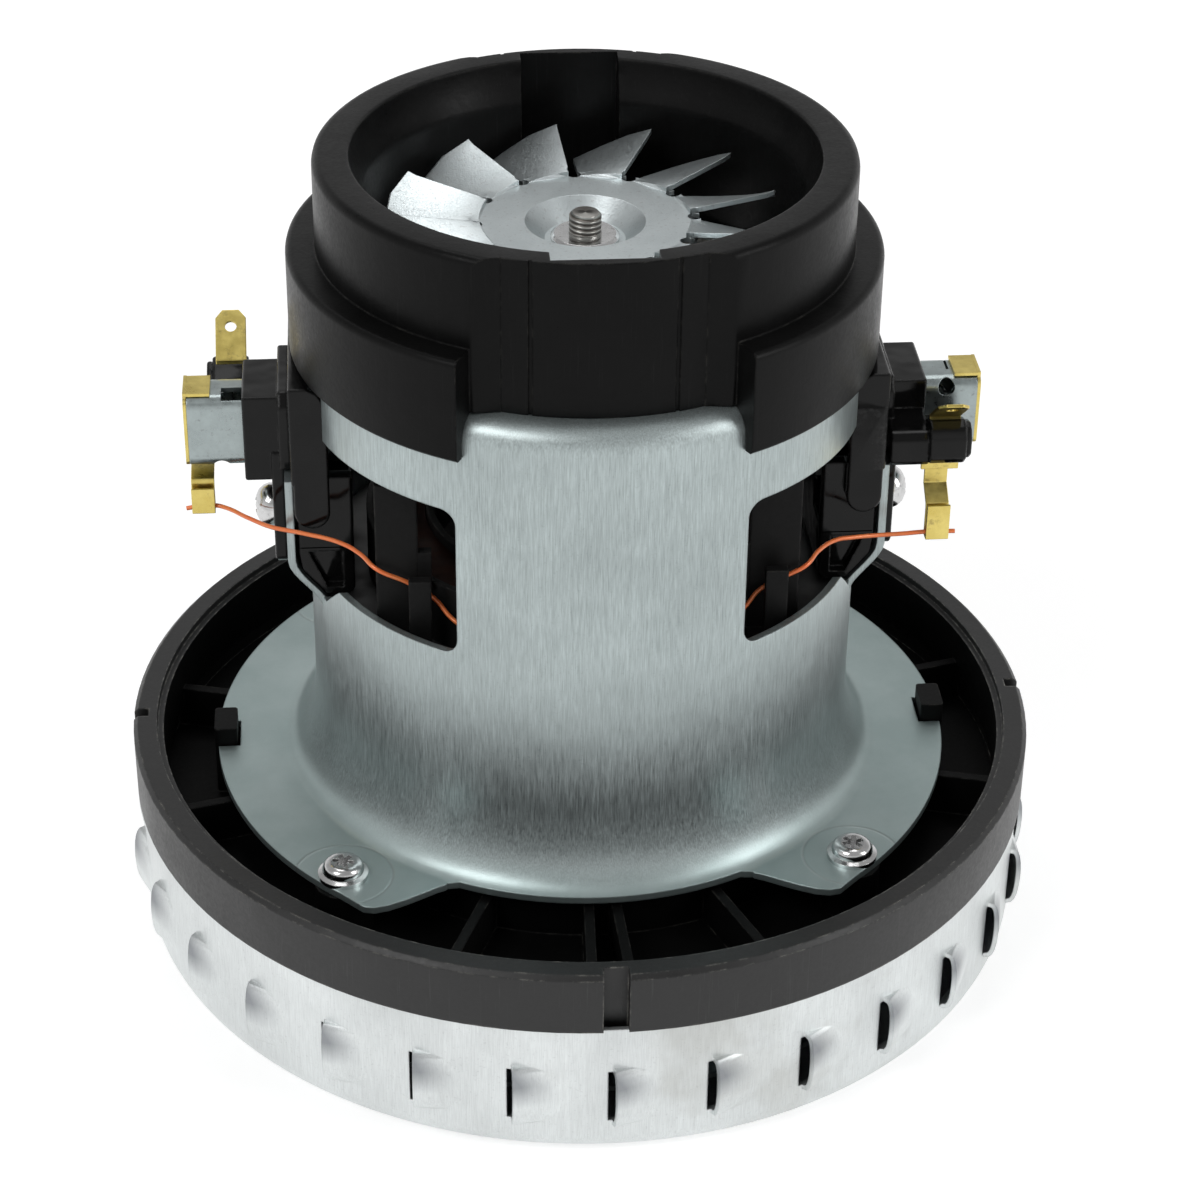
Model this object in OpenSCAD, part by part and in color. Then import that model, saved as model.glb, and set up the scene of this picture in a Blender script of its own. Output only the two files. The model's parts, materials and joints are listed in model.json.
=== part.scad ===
// Wet and dry vacuum motor unit: louvred fan shell, black base ring, drawn steel
// motor frame with windows, cooling collar with its sheet-metal fan, and two brush
// holders. Millimetres, +Z up, origin at the middle of the shell's flat bottom.
// The front is -Y. The brush holders stand on +X and -X and are turned copies.

/* [Fan shell] */
// Outer radius of the louvred fan shell
shell_r = 72.4; // [70:0.1:76]
// Height of the fan shell, from its bottom to the black ring
shell_h = 24.2; // [23:0.1:28]
// Sheet thickness of the fan shell
shell_sheet = 0.8; // [0.6:0.1:1.2]
// Outer radius of the bend between the shell's bottom and wall
shell_bend = 4; // [2.5:0.5:5.5]
// Radius of the inlet eye in the shell's bottom
eye_r = 21; // [18:0.5:24]
// Height of the turned-up lip round the inlet eye
eye_lip_h = 3.4; // [2.6:0.1:4]
// Number of louvres round the shell
louvre_count = 30; // [20:1:32]
// Height of one louvre
louvre_h = 11; // [8:0.5:12]
// Width of one louvre along the wall
louvre_w = 8; // [5:0.5:9]
// How far a louvre stands out at its slit
louvre_out = 2.1; // [1.4:0.1:2.6]

/* [Base ring] */
// How far the black ring stands out past the shell
ring_proud = 0.6; // [0.3:0.1:1.4]
// Height of the black ring above the shell
ring_rise = 10.3; // [9:0.1:13]
// Width of the ring's rim, seen from above
ring_rim_w = 4.8; // [3.5:0.1:6]
// Thickness of the base's floor
floor_t = 2; // [1.6:0.1:2.6]
// Thickness of the base's radial ribs
rib_t = 1.6; // [1:0.1:2.4]

/* [Motor frame] */
// Outer radius of the drawn steel can
can_r = 43.1; // [42.5:0.1:44]
// Sheet thickness of the frame
can_sheet = 1.2; // [1:0.1:1.4]
// Height of the frame, from the flange's underside to its closed top
frame_h = 79.5; // [78.5:0.1:82]
// Height of the flange's seat above the shell
flange_seat = 4.3; // [4:0.1:5]
// Outer radius of the flange
flange_r = 59.5; // [58.8:0.1:60]
// Radius of the flare between can and flange
flare_w = 5.4; // [4:0.1:6.5]
// Height of the flare between can and flange
flare_h = 13; // [9:0.5:16]
// Radius of the can's upper shoulder
shoulder_r = 4; // [3:0.5:5]
// Height of the side windows
window_h = 24.5; // [20:0.5:26]
// How far the bent tongues stand out from the can
tongue_out = 3.3; // [3:0.1:3.6]
// Half the width of a bent tongue
tongue_half = 12.5; // [11.5:0.1:12.7]

/* [Cooling collar] */
// Outer radius of the collar's upper part
collar_r = 40.6; // [40:0.1:41.6]
// Bore radius of the collar's throat
throat_r = 32.8; // [32:0.1:34]
// Height of the collar above the frame
collar_rise = 24.2; // [23:0.1:27]
// Wall of the collar's wide skirt
skirt_wall = 1.75; // [1.4:0.05:2.2]
// Height of the collar's wide skirt
skirt_h = 16.2; // [14:0.1:18]

/* [Cooling fan] */
// Tip radius of the cooling fan
fan_r = 30.4; // [28:0.1:31]
// Number of fan blades
fan_blades = 12; // [9:1:14]
// Sheet thickness of the cooling fan
fan_sheet = 0.8; // [0.6:0.1:1.2]
// Rise of a blade's leading tip above the disc
blade_rise = 3.1; // [2:0.1:3.8]
// Drop of a blade's trailing tip below the disc
blade_drop = 3.6; // [2.4:0.1:4]

/* [Rotor] */
// Shaft radius in the bearings
shaft_r = 4; // [3.5:0.1:4.2]
// Radius of the threaded shaft end
thread_r = 2.45; // [2:0.05:3]
// Height of the laminated cores
stack_h = 26; // [22:1:27]
// Number of armature slots
armature_slots = 12; // [8:1:16]
// Radius of the commutator's brush track
commutator_r = 12; // [11:0.1:12.6]
// Number of commutator bars
commutator_bars = 24; // [16:2:32]
// Outer radius of both ball bearings
bearing_r = 11; // [10.6:0.1:11.4]
// Width of both ball bearings
bearing_w = 7; // [6:0.5:7]

/* [Impeller] */
// Outer radius of the impeller
impeller_r = 63; // [56:0.5:66]
// Number of impeller vanes
impeller_vanes = 7; // [5:1:9]
// Sheet thickness of the impeller vanes
vane_t = 0.9; // [0.6:0.1:1.2]

/* [Brush gear] */
// Outer width of the brush tube
tube_w = 8; // [7.4:0.1:8.4]
// Outer height of the brush tube
tube_h = 12; // [11:0.1:12.4]
// Wall of the brush tube
tube_wall = 0.8; // [0.5:0.1:1]
// How far the tube stands out from the can
tube_out = 17.9; // [17:0.1:21]
// Length of the carbon brush
brush_len = 26; // [22:0.5:28]
// How far the spring lets a brush slide outwards
brush_travel = 4; // [2:0.5:6]
// Width of a terminal blade
blade_w = 4.8; // [4.5:0.1:5.2]
// Length of a terminal blade beyond its bend
blade_len = 9.2; // [8:0.1:11]
// Thickness of the brass strip
strip_t = 0.5; // [0.4:0.1:0.6]
// Diameter of the copper winding leads
lead_d = 0.7; // [0.5:0.05:0.9]

/* [Screws] */
// Shank radius of the screws
screw_r = 1.95; // [1.6:0.05:2.1]
// Head radius of the four flange screws
screw_head_r = 3.9; // [3.4:0.1:4.2]

/* [Hidden] */

// Fineness of round shapes, and of the many small arcs in profiles
$fn = 96;
arc_steps = 6;
// A cut runs this far past the face it opens
cut = 1;
// Gap between pieces that seat in each other, and between pieces that move
seat_gap = 0.05;
run_gap = 0.3;

// Colours
steel = [0.72, 0.74, 0.75];
shell_steel = [0.80, 0.81, 0.81];
black = [0.07, 0.07, 0.075];
dark_grey = [0.16, 0.17, 0.18];
zinc = [0.85, 0.86, 0.88];
brass = [0.80, 0.65, 0.30];
copper = [0.80, 0.42, 0.24];
core_steel = [0.36, 0.37, 0.39];
carbon = [0.12, 0.12, 0.13];
aluminium = [0.76, 0.77, 0.78];

// Fan shell
louvre_z = 6;
louvre_step = 360 / louvre_count;
// The slit of the first louvre, as an angle about Z
louvre_start = -90.3;
louvre_tilt = atan((louvre_out + pow(louvre_w, 2) / (2 * shell_r)) / louvre_w);
louvre_steps = 12;
eye_bend = 2;

// Base ring
ring_r = shell_r + ring_proud;
ring_top = shell_h + ring_rise;
rim_in = ring_r - ring_rim_w;
spigot_r = shell_r - shell_sheet - seat_gap;
spigot_wall = 2.4;
floor_z = shell_h - 5.8;
floor_top = floor_z + floor_t;
flange_z = shell_h + flange_seat;
seat_wall_in = can_r - 0.1;
seat_wall_out = seat_wall_in + 2;
seat_wall_top = flange_z + 1.6;
hub_r = bearing_r + 3;
lower_bearing_z = floor_top + 1;
hub_top = lower_bearing_z + bearing_w + 0.6;
shaft_hole_r = shaft_r + 2.2;
rib_top = flange_z - 0.9;
// Ribs and locating pegs, as angles from the front
rib_angles = [-105, -75, -22, -2.6, 2.6, 22, 75, 105, 158, 177.4, 182.6, 202];
peg_half = 3.2;
peg_in = flange_r - 3.2;
peg_depth = 3.7;
peg_rise = 3;
notch_half = 1.9;
notch_depth = 2.4;
side_notch_half = 1.1;
side_notch_h = 3;

// Frame
flange_top = flange_z + can_sheet;
can_top = flange_z + frame_h;
flare_foot_r = can_r + flare_w;
shoulder_in = can_r - shoulder_r;
// Windows, as angles from the front and back
window_from = 29.7;
window_z = can_top - 40;
window_corner = 2.5;
window_to = 90 - asin(tongue_half / can_r);
window_mid = (window_from + window_to) / 2;
window_w = 2 * can_r * sin((window_to - window_from) / 2);
opening_half = 15.2;
opening_top = can_top - 6.6;
tongue_x = can_r + tongue_out;
tongue_foot = window_z - 7;
tongue_bend_h = 9;
tongue_top = window_z + 16;
// The tongue's foot starts this far inside the can's outer face
tongue_inset = 1.9;
relief_low = window_z - 4.6;
relief_half = 19;
// The front and back edges of the flange are drawn in to this radius
flange_waist_r = 47.8;
flange_corner_r = 60;
flange_corner_a = 37.5;
flange_waist_a = 27;
screw_circle = 55.8;
screw_angles = [45, 135, 225, 315];
// Bearing cup in the frame's closed top, and the air slots round it
cup_in = bearing_r + seat_gap;
cup_out = cup_in + can_sheet;
upper_bearing_z = can_top - 0.7;
cup_top = upper_bearing_z + bearing_w + can_sheet;
vent_count = 6;
vent_in = cup_out + 3.5;
vent_out = throat_r - 1.5;
vent_turn = 40;

// Collar
collar_seat = can_top + seat_gap;
collar_top = can_top + collar_rise;
skirt_z = can_top - 6.2;
skirt_top = skirt_z + skirt_h;
skirt_in = can_r + 0.15;
skirt_r = skirt_in + skirt_wall;
mouth_in = throat_r + 2.2;
mouth_h = 7.2;
recess_r = collar_r - 1.8;
recess_half_a = 22;
recess_slope_a = 27;
skirt_end_a = 28;
lip_notch_half = 7.7;
lip_notch_r = recess_r - 1.6;
panel_a = 15.7;

// Rotor, from the bottom up
plate_t = 0.9;
back_plate_t = 1.2;
front_plate_z = eye_lip_h + 0.9;
back_plate_z = floor_z - 1.2 - back_plate_t;
vane_z = front_plate_z + plate_t;
vane_in = eye_r + 4;
plate_eye_r = eye_r + shell_sheet + 0.9;
nut_r = 6.5;
nut_h = 5;
spacer_r = shaft_r + 1.6;
nut_z = back_plate_z - nut_h;
shaft_low = nut_z - 1.6;
stack_top = window_z - 6;
stack_z = stack_top - stack_h;
coil_end_h = 9;
armature_end_low = hub_top + 0.8;
commutator_top = can_top - 10;
riser_z = stack_top + 12;
riser_h = 2.6;
riser_r = commutator_r + 1.6;
bearing_inner_r = shaft_r + 2.3;
bearing_ball_r = 1.98;
bearing_pitch = (bearing_inner_r + bearing_r - 1.9) / 2;
ball_count = 7;
fan_z = can_top + 12.6;
fan_disc_r = 17.4;
fan_dish_r = 6.4;
fan_dish_out = 9.4;
fan_dish_depth = 2.9;
fan_floor = fan_z - fan_dish_depth;
fan_washer_h = 0.9;
washer_r = 5.2;
shaft_tip = fan_z + 1.4;
blade_root_r = 16;
blade_chord_a = 24.5;
blade_start_a = 4.8;
blade_root_lift = 0.8;

// Field
field_r = can_r - can_sheet - seat_gap;
armature_r = 0.4684 * field_r;
yoke_in = 0.8 * field_r;
air_gap = 0.6;
pole_face_r = armature_r + air_gap;
shoe_r = pole_face_r + 4;
pole_half = 13;
shoe_half_a = 62;
bobbin_wall = 1.1;
coil_in = shoe_r + 0.7;
coil_out = yoke_in - 0.6;
coil_half_a = 50;
bobbin_half_a = 52.5;
bobbin_top = stack_top + coil_end_h + 1.5;
guard_y = 0.5544 * field_r;
guard_t = 1.6;
post_y = 0.65 * field_r;
post_top = stack_top + 13.5;

// Brush gear. Everything here is drawn on +X
brush_z = can_top - 20;
guard_top = brush_z - 3;
tube_in_end = commutator_r + 3.4;
tube_end = can_r + tube_out;
tube_slot_gap = 0.4;
tube_corner = 2;
brush_gap = 0.1;
brush_face_r = commutator_r + run_gap;
spring_wire = 0.6;
spring_r = (tube_w / 2 - tube_wall) - 0.75;
spring_turns = 9;
block_x = can_r + 3.9;
block_end = can_r + 9.4;
block_half = 6.5;
block_low = brush_z - 7;
block_high = brush_z + 7.4;
leg_t = 2.4;
leg_x = tongue_x + seat_gap;
leg_low = window_z - 1.8;
leg_half = 10.5;
plate_low = brush_z - 8;
plate_high = brush_z + 8.6;
plate_shoulder = brush_z + 4.6;
plate_half = 12.6;
body_out = skirt_r + 0.3;
bar_in = can_r - 3.5;
bar_out = tongue_x - 1.4;
bar_w = 2.2;
bar_half = tongue_half + 0.2 + bar_w;
bar_low = brush_z - 11;
hook_in = bar_in - 3.4;
hook_low = window_z - 4.5;
hook_high = window_z + 4.6;
cheek_half = tongue_half - 0.3;
cheek_w = 2.4;
post_half = 4.2;
boss_y = 16;
boss_x = block_x - 1;
boss_end = can_r + 15.3;
boss_low = brush_z - 3.6;
boss_high = brush_z + 2.8;
strip_x = can_r + 11.4;
strip_y = 12.1;
strip_bend_z = brush_z + 3.3;
strip_slot = 0.05;
tee_w = 6.3;
tail_w = 3.6;
blade_tilt = 47.5;
blade_hole_r = 1.05;
holder_screw_z = window_z + 5;
holder_screw_head_r = 3.1;
holder_screw_head_h = 2.5;
cap_t = 0.5;
cap_tab_len = 3.6;

// Routes of the two copper leads, from the hook on the terminal to the field coil.
// x is the distance from the axis, so both lists are drawn on +X.
lead_right = [[56.6, -15.85, 72.5], [54, -15.85, 72.5], [52, -15.8, 73], [48.5, -16, 73],
    [45, -16.4, 73], [40.3, -18, 74], [37.4, -19.5, 74.2], [34.4, -22.4, 73.6],
    [32, -25.4, 73.2], [29, -26, 72.3], [25, -26.1, 70.4], [22.6, -27.5, 68.4],
    [20.6, -28.4, 67.2], [19.4, -26.4, 66.4], [19.7, -24.2, 66]];
lead_left = [[62, 2.9, 74.4], [59.8, 2.9, 74.4], [57.4, 2.9, 74.5], [56.2, 3.4, 74.6],
    [52.4, 7.9, 75.3], [48.8, 11.9, 75.9], [46.3, 13.9, 76.2], [43.8, 15.8, 76.5], [38, 18.9, 75.8],
    [35.2, 22.6, 75.2], [32.8, 25.8, 74.6], [28.2, 26, 73.2], [24.2, 26.1, 70.2],
    [22, 27.8, 68.6], [20.4, 28.6, 67.6], [19.4, 26.6, 66.6], [19.7, 24.2, 66]];
lead_can_r = 43.1;
lead_sides = 8;
lead_steps = 2;
// The hooks' depths and heights, which the leads pass through
hook_y_right = 15.85;
hook_z_right = 72.5;
hook_y_left = 2.9;
hook_z_left = 74.4;
tail_left_out = 5.6;
// Half the gap in the folds that grip the leads, to the middle of the strip
fold_half = 0.7;

// Points of an arc in the plane, from angle a0 to a1
function arc(cx, cy, r, a0, a1, n = arc_steps) =
    [for (i = [0 : n]) let (a = a0 + (a1 - a0) * i / n) [cx + r * cos(a), cy + r * sin(a)]];
// Points of an elliptic arc
function ellipse(cx, cy, rx, ry, a0, a1, n = arc_steps) =
    [for (i = [0 : n]) let (a = a0 + (a1 - a0) * i / n) [cx + rx * cos(a), cy + ry * sin(a)]];
// An even rise from 0 to 1 with level ends
function ease(t) = t <= 0 ? 0 : t >= 1 ? 1 : t * t * (3 - 2 * t);
function polar(r, a) = [r * cos(a), r * sin(a)];
function unit(v) = v / norm(v);
// A smooth curve through points: the point at place t, which counts points
function curve_at(p, t) =
    let (
        last = len(p) - 1,
        i = min(floor(t), last - 1),
        f = t - i,
        a = p[max(i - 1, 0)],
        b = p[i],
        c = p[i + 1],
        d = p[min(i + 2, last)]
    )
    0.5 * (2 * b + (c - a) * f + (2 * a - 5 * b + 4 * c - d) * f * f
        + (3 * b - a - 3 * c + d) * f * f * f);
function curve(p, steps) =
    [for (i = [0 : (len(p) - 1) * steps]) curve_at(p, i / steps)];

// A solid through rings of points, closed at both ends
module loft(rings) {
    n = len(rings[0]);
    m = len(rings);
    points = [for (ring = rings) each ring];
    low_cap = [for (i = [1 : n - 2]) [0, i, i + 1]];
    high_cap = [for (i = [1 : n - 2]) let (k = (m - 1) * n) [k, k + i + 1, k + i]];
    sides = [for (j = [0 : m - 2], i = [0 : n - 1], half = [0, 1])
        let (a = j * n + i, b = j * n + (i + 1) % n, c = b + n, d = a + n)
        half == 0 ? [a, d, c] : [a, c, b]];
    polyhedron(points = points, faces = concat(low_cap, high_cap, sides));
}

// A round tube along a path
module swept_tube(path, r, sides) {
    last = len(path) - 1;
    rings = [for (i = [0 : last])
        let (
            way = unit(path[min(i + 1, last)] - path[max(i - 1, 0)]),
            across = unit(cross(way, [0, 0, 1])),
            up = cross(across, way)
        )
        [for (k = [0 : sides - 1]) let (a = 360 * k / sides)
            path[i] + r * (cos(a) * across + sin(a) * up)]];
    loft(rings);
}

// A ring of rectangular section
module tube(r_in, r_out, z0, z1) {
    difference() {
        translate([0, 0, z0]) cylinder(r = r_out, h = z1 - z0);
        translate([0, 0, z0 - cut]) cylinder(r = r_in, h = z1 - z0 + 2 * cut);
    }
}

// A flat rectangle with round corners, centred
module round_rect(w, h, r) {
    square([w - 2 * r, h], center = true);
    square([w, h - 2 * r], center = true);
    for (x = [-1, 1], y = [-1, 1])
        translate([x * (w / 2 - r), y * (h / 2 - r)]) circle(r = r, $fn = 32);
}

// A box between two corners
module block(low, high) {
    translate(low) cube(high - low);
}

// Turns a piece drawn on +X to the left side
module left_side() {
    rotate([0, 0, 180]) children();
}

// Lays a flat outline in the XZ plane, drawn as [x, z], and extrudes it along Y
module along_y(y0, y1) {
    translate([0, y1, 0]) rotate([90, 0, 0]) linear_extrude(y1 - y0) children();
}

// Lays a flat outline in the YZ plane, drawn as [y, z], and extrudes it along X
module along_x(x0, x1) {
    translate([x0, 0, 0]) rotate([90, 0, 90]) linear_extrude(x1 - x0) children();
}

// A sector of a ring about Z, between two angles
module ring_sector(r_in, r_out, z0, z1, a0, a1) {
    translate([0, 0, z0]) rotate([0, 0, a0]) rotate_extrude(angle = a1 - a0)
        translate([r_in, 0]) square([r_out - r_in, z1 - z0]);
}

// Fan shell

// The space under one louvre: a rounded arch that stands proud at the slit and sinks
// into the wall over the louvre's width
module louvre_space(sheet, before) {
    rise = louvre_out - sheet;
    half = louvre_h / 2 - sheet;
    foot = -shell_sheet - 0.3;
    crest = [for (i = [0 : louvre_steps]) let (a = 180 * i / louvre_steps)
        [rise * pow(sin(a), 0.55) - 0.02, -half * cos(a)]];
    translate([shell_r, 0, louvre_z + louvre_h / 2]) rotate([0, 0, louvre_tilt])
        along_y(-before, louvre_w + 0.6)
            polygon(concat([[foot, -half]], crest, [[foot, half]]));
}

module louvre_bump() {
    difference() {
        louvre_space(0, 0);
        translate([0, 0, louvre_z - 1])
            cylinder(r = shell_r - shell_sheet / 2, h = louvre_h + 2, $fn = 180);
    }
}

module fan_shell() {
    wall_in = shell_r - shell_sheet;
    color(shell_steel)
    difference() {
        union() {
            rotate_extrude($fn = 180) polygon(concat(
                [[eye_r, eye_lip_h]],
                arc(eye_r + eye_bend, eye_bend, eye_bend, 180, 270),
                arc(shell_r - shell_bend, shell_bend, shell_bend, -90, 0),
                [[shell_r, shell_h], [wall_in, shell_h]],
                arc(shell_r - shell_bend, shell_bend, shell_bend - shell_sheet, 0, -90),
                arc(eye_r + eye_bend, eye_bend, eye_bend - shell_sheet, 270, 180),
                [[eye_r + shell_sheet, eye_lip_h]]));
            for (k = [0 : louvre_count - 1])
                rotate([0, 0, louvre_start + k * louvre_step]) louvre_bump();
        }
        for (k = [0 : louvre_count - 1])
            rotate([0, 0, louvre_start + k * louvre_step]) louvre_space(shell_sheet, 0.6);
    }
}

// Base ring

module screw_bosses(r, z0, z1) {
    for (a = screw_angles)
        rotate([0, 0, a]) translate([screw_circle, 0, z0]) cylinder(r = r, h = z1 - z0, $fn = 32);
}

module base_ring() {
    color(black)
    difference() {
        union() {
            rotate_extrude($fn = 180) polygon([
                [shaft_hole_r, floor_z], [spigot_r, floor_z], [spigot_r, shell_h],
                [ring_r, shell_h], [ring_r, ring_top - 0.7], [ring_r - 0.7, ring_top],
                [rim_in + 1, ring_top], [rim_in + 1, ring_top - 1.2],
                [rim_in, ring_top - 1.2], [rim_in, shell_h],
                [spigot_r - spigot_wall, shell_h - 1.5], [spigot_r - spigot_wall, floor_top],
                [seat_wall_out, floor_top], [seat_wall_out, seat_wall_top],
                [seat_wall_in, seat_wall_top], [seat_wall_in, floor_top],
                [hub_r, floor_top], [hub_r, hub_top - 0.8], [hub_r - 0.8, hub_top],
                [bearing_r + seat_gap, hub_top], [bearing_r + seat_gap, lower_bearing_z],
                [shaft_hole_r, lower_bearing_z]]);
            for (a = rib_angles)
                rotate([0, 0, a - 90])
                    block([seat_wall_out - 0.5, -rib_t / 2, floor_top - 0.5],
                        [spigot_r - spigot_wall + 0.5, rib_t / 2, rib_top]);
            screw_bosses(4.4, floor_top - 0.5, flange_z);
            for (side = [-1, 1])
                translate([side * (peg_in + peg_depth / 2), 0, floor_top - 0.5])
                    linear_extrude(flange_top + peg_rise - floor_top + 0.5)
                        round_rect(peg_depth, 2 * peg_half, 0.6);
        }
        screw_bosses(screw_r + seat_gap, floor_top + 1, flange_z + cut);
        // The groove down the front and back of the ring, and the small side nicks
        for (a = [-90, 90])
            rotate([0, 0, a])
                block([ring_r - notch_depth, -notch_half, shell_h - cut],
                    [ring_r + cut, notch_half, ring_top + cut]);
        for (a = [0, 180])
            rotate([0, 0, a])
                block([ring_r - notch_depth, -side_notch_half, ring_top - side_notch_h],
                    [ring_r + cut, side_notch_half, ring_top + cut]);
    }
}

// Motor frame

// The flange's outer edge, drawn in at the front and back
function flange_edge(a) =
    let (b = abs(a) > 90 ? 180 - abs(a) : abs(a))
    b < flange_waist_a ? flange_waist_r
    : b < flange_corner_a ? flange_waist_r + (flange_corner_r - flange_waist_r)
        * ease((b - flange_waist_a) / (flange_corner_a - flange_waist_a))
    : b < flange_corner_a + 4 ? flange_corner_r
        + (flange_r - flange_corner_r) * (b - flange_corner_a) / 4
    : flange_r;

module flange_outline() {
    polygon([for (a = [-178.5 : 1.5 : 180]) polar(flange_edge(a), a - 90)]);
}

module can_profile() {
    polygon(concat(
        [[flare_foot_r, flange_top]],
        ellipse(flare_foot_r, flange_top + flare_h, flare_w, flare_h, 270, 180, 10),
        arc(shoulder_in, can_top - shoulder_r, shoulder_r, 0, 90),
        arc(cup_out + 1.5, can_top + 1.5, 1.5, 270, 180, 3),
        arc(cup_out - 1.2, cup_top - 1.2, 1.2, 0, 90, 3),
        [[shaft_hole_r, cup_top], [shaft_hole_r, cup_top - can_sheet],
            [cup_in, cup_top - can_sheet], [cup_in, can_top - can_sheet]],
        arc(shoulder_in, can_top - shoulder_r, shoulder_r - can_sheet, 90, 0),
        ellipse(flare_foot_r, flange_top + flare_h, flare_w + can_sheet,
            flare_h + can_sheet, 180, 270, 10)));
}

// The tongue's outer face: inside the can's wall at its foot, then bent out
function tongue_face(z) = can_r - tongue_inset
    + (tongue_out + tongue_inset) * ease((z - tongue_foot) / tongue_bend_h);
tongue_heights = concat([for (i = [0 : 8]) tongue_foot + tongue_bend_h * i / 8], [tongue_top]);

module tongue() {
    difference() {
        along_y(-tongue_half, tongue_half)
            polygon(concat(
                [for (z = tongue_heights) [tongue_face(z), z]],
                [for (i = [len(tongue_heights) - 1 : -1 : 0]) let (z = tongue_heights[i])
                    [tongue_face(z) - can_sheet, z]]));
        translate([0, 0, tongue_foot - cut]) cylinder(r = can_r - can_sheet, h = 40);
    }
}

// The space behind the tongue, which is cut from the can's wall
module tongue_space() {
    along_y(-tongue_half, tongue_half)
        polygon(concat([[can_r - 12, tongue_foot]],
            [for (z = tongue_heights) [tongue_face(z) - can_sheet, z]],
            [[can_r - 12, tongue_top]]));
}

module stator_frame() {
    color(steel)
    difference() {
        union() {
            difference() {
                rotate_extrude($fn = 180) can_profile();
                // Windows beside the tongues
                for (a = [-1, 1], b = [0, 180])
                    rotate([0, 0, b + a * window_mid]) translate([0, -can_r, window_z + window_h / 2])
                        rotate([90, 0, 0]) linear_extrude(2 * can_sheet + 8, center = true)
                            round_rect(window_w, window_h, window_corner);
                // Room for the holders between the windows
                for (side = [0, 180]) rotate([0, 0, side]) {
                    block([can_r - 9, -opening_half, tongue_top - 4],
                        [can_r + cut, opening_half, opening_top]);
                    tongue_space();
                    // The windows reach down beside the tongue's foot
                    for (s = [-1, 1])
                        along_x(can_r - 12, can_r + cut) polygon([
                            [s * tongue_half, relief_low], [s * (tongue_half + 1.5), relief_low],
                            [s * relief_half, window_z + 0.05], [s * relief_half, window_z + 4],
                            [s * tongue_half, tongue_top]]);
                }
                // Air slots in the closed top
                for (k = [0 : vent_count - 1])
                    ring_sector(vent_in, vent_out, can_top - can_sheet - cut, can_top + cut,
                        k * 360 / vent_count - vent_turn / 2, k * 360 / vent_count + vent_turn / 2);
            }
            difference() {
                translate([0, 0, flange_z]) linear_extrude(can_sheet) flange_outline();
                translate([0, 0, flange_z - cut]) cylinder(r = flare_foot_r, h = can_sheet + 2 * cut);
            }
            for (side = [0, 180]) rotate([0, 0, side]) tongue();
        }
        // The flare is cut off straight where the flange is drawn in
        for (a = [-90, 90]) rotate([0, 0, a])
            difference() {
                block([flange_waist_r * cos(flange_waist_a), -24, flange_z - cut],
                    [flange_r, 24, flange_top + 0.6]);
                translate([0, 0, flange_z - 2 * cut]) cylinder(r = flange_waist_r, h = 6);
                rotate([0, 0, flange_waist_a + 2]) block([0, 0, flange_z - 2 * cut], [80, 60, 40]);
                rotate([0, 0, -flange_waist_a - 2]) block([0, -60, flange_z - 2 * cut], [80, 0, 40]);
            }
        screw_bosses(screw_r + 0.2, flange_z - cut, flange_top + cut);
        for (side = [-1, 1]) translate([side * (peg_in + 10 - 0.4), 0, flange_z])
            cube([20, 2 * peg_half + 0.8, 6], center = true);
        // Notches in the tongues' tops for the brush tubes
        for (side = [0, 180]) rotate([0, 0, side])
            along_x(can_r - 12, tongue_x + 4) tube_outline(tube_slot_gap);
        // Screw holes through the tongues
        for (side = [-1, 1]) translate([side * tongue_x, 0, holder_screw_z]) rotate([0, 90, 0])
            cylinder(r = screw_r + seat_gap, h = 12, center = true, $fn = 32);
    }
}

// A sheet-metal screw along +Z: its head's seat is at 0
module pan_screw(head_r, head_h, length) {
    difference() {
        union() {
            rotate_extrude($fn = 48) polygon(concat(
                [[0, -length], [screw_r - 0.8, -length], [screw_r, -length + 1.4],
                    [screw_r, 0], [head_r, 0], [head_r, 0.7], [head_r - 0.7, 1]],
                arc(head_r - 1.9, head_h - 1.2, 1.2, 0, 90, 3), [[0, head_h]]));
        }
        for (a = [0 : 60 : 120]) rotate([0, 0, a])
            translate([0, 0, head_h]) cube([3.4, 0.8, 2.4], center = true);
    }
}

module flange_screws() {
    color(zinc)
    for (a = screw_angles) rotate([0, 0, a]) translate([screw_circle, 0, flange_top])
        pan_screw(screw_head_r, 2.6, 7);
}

// Cooling collar

// A wedge about Z between two angles from the front, used to cut the collar
module front_wedge(half_a, z0, z1) {
    far = 60;
    translate([0, 0, z0]) linear_extrude(z1 - z0)
        polygon([[0, 0], [-far * tan(half_a), -far], [far * tan(half_a), -far]]);
}

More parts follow.
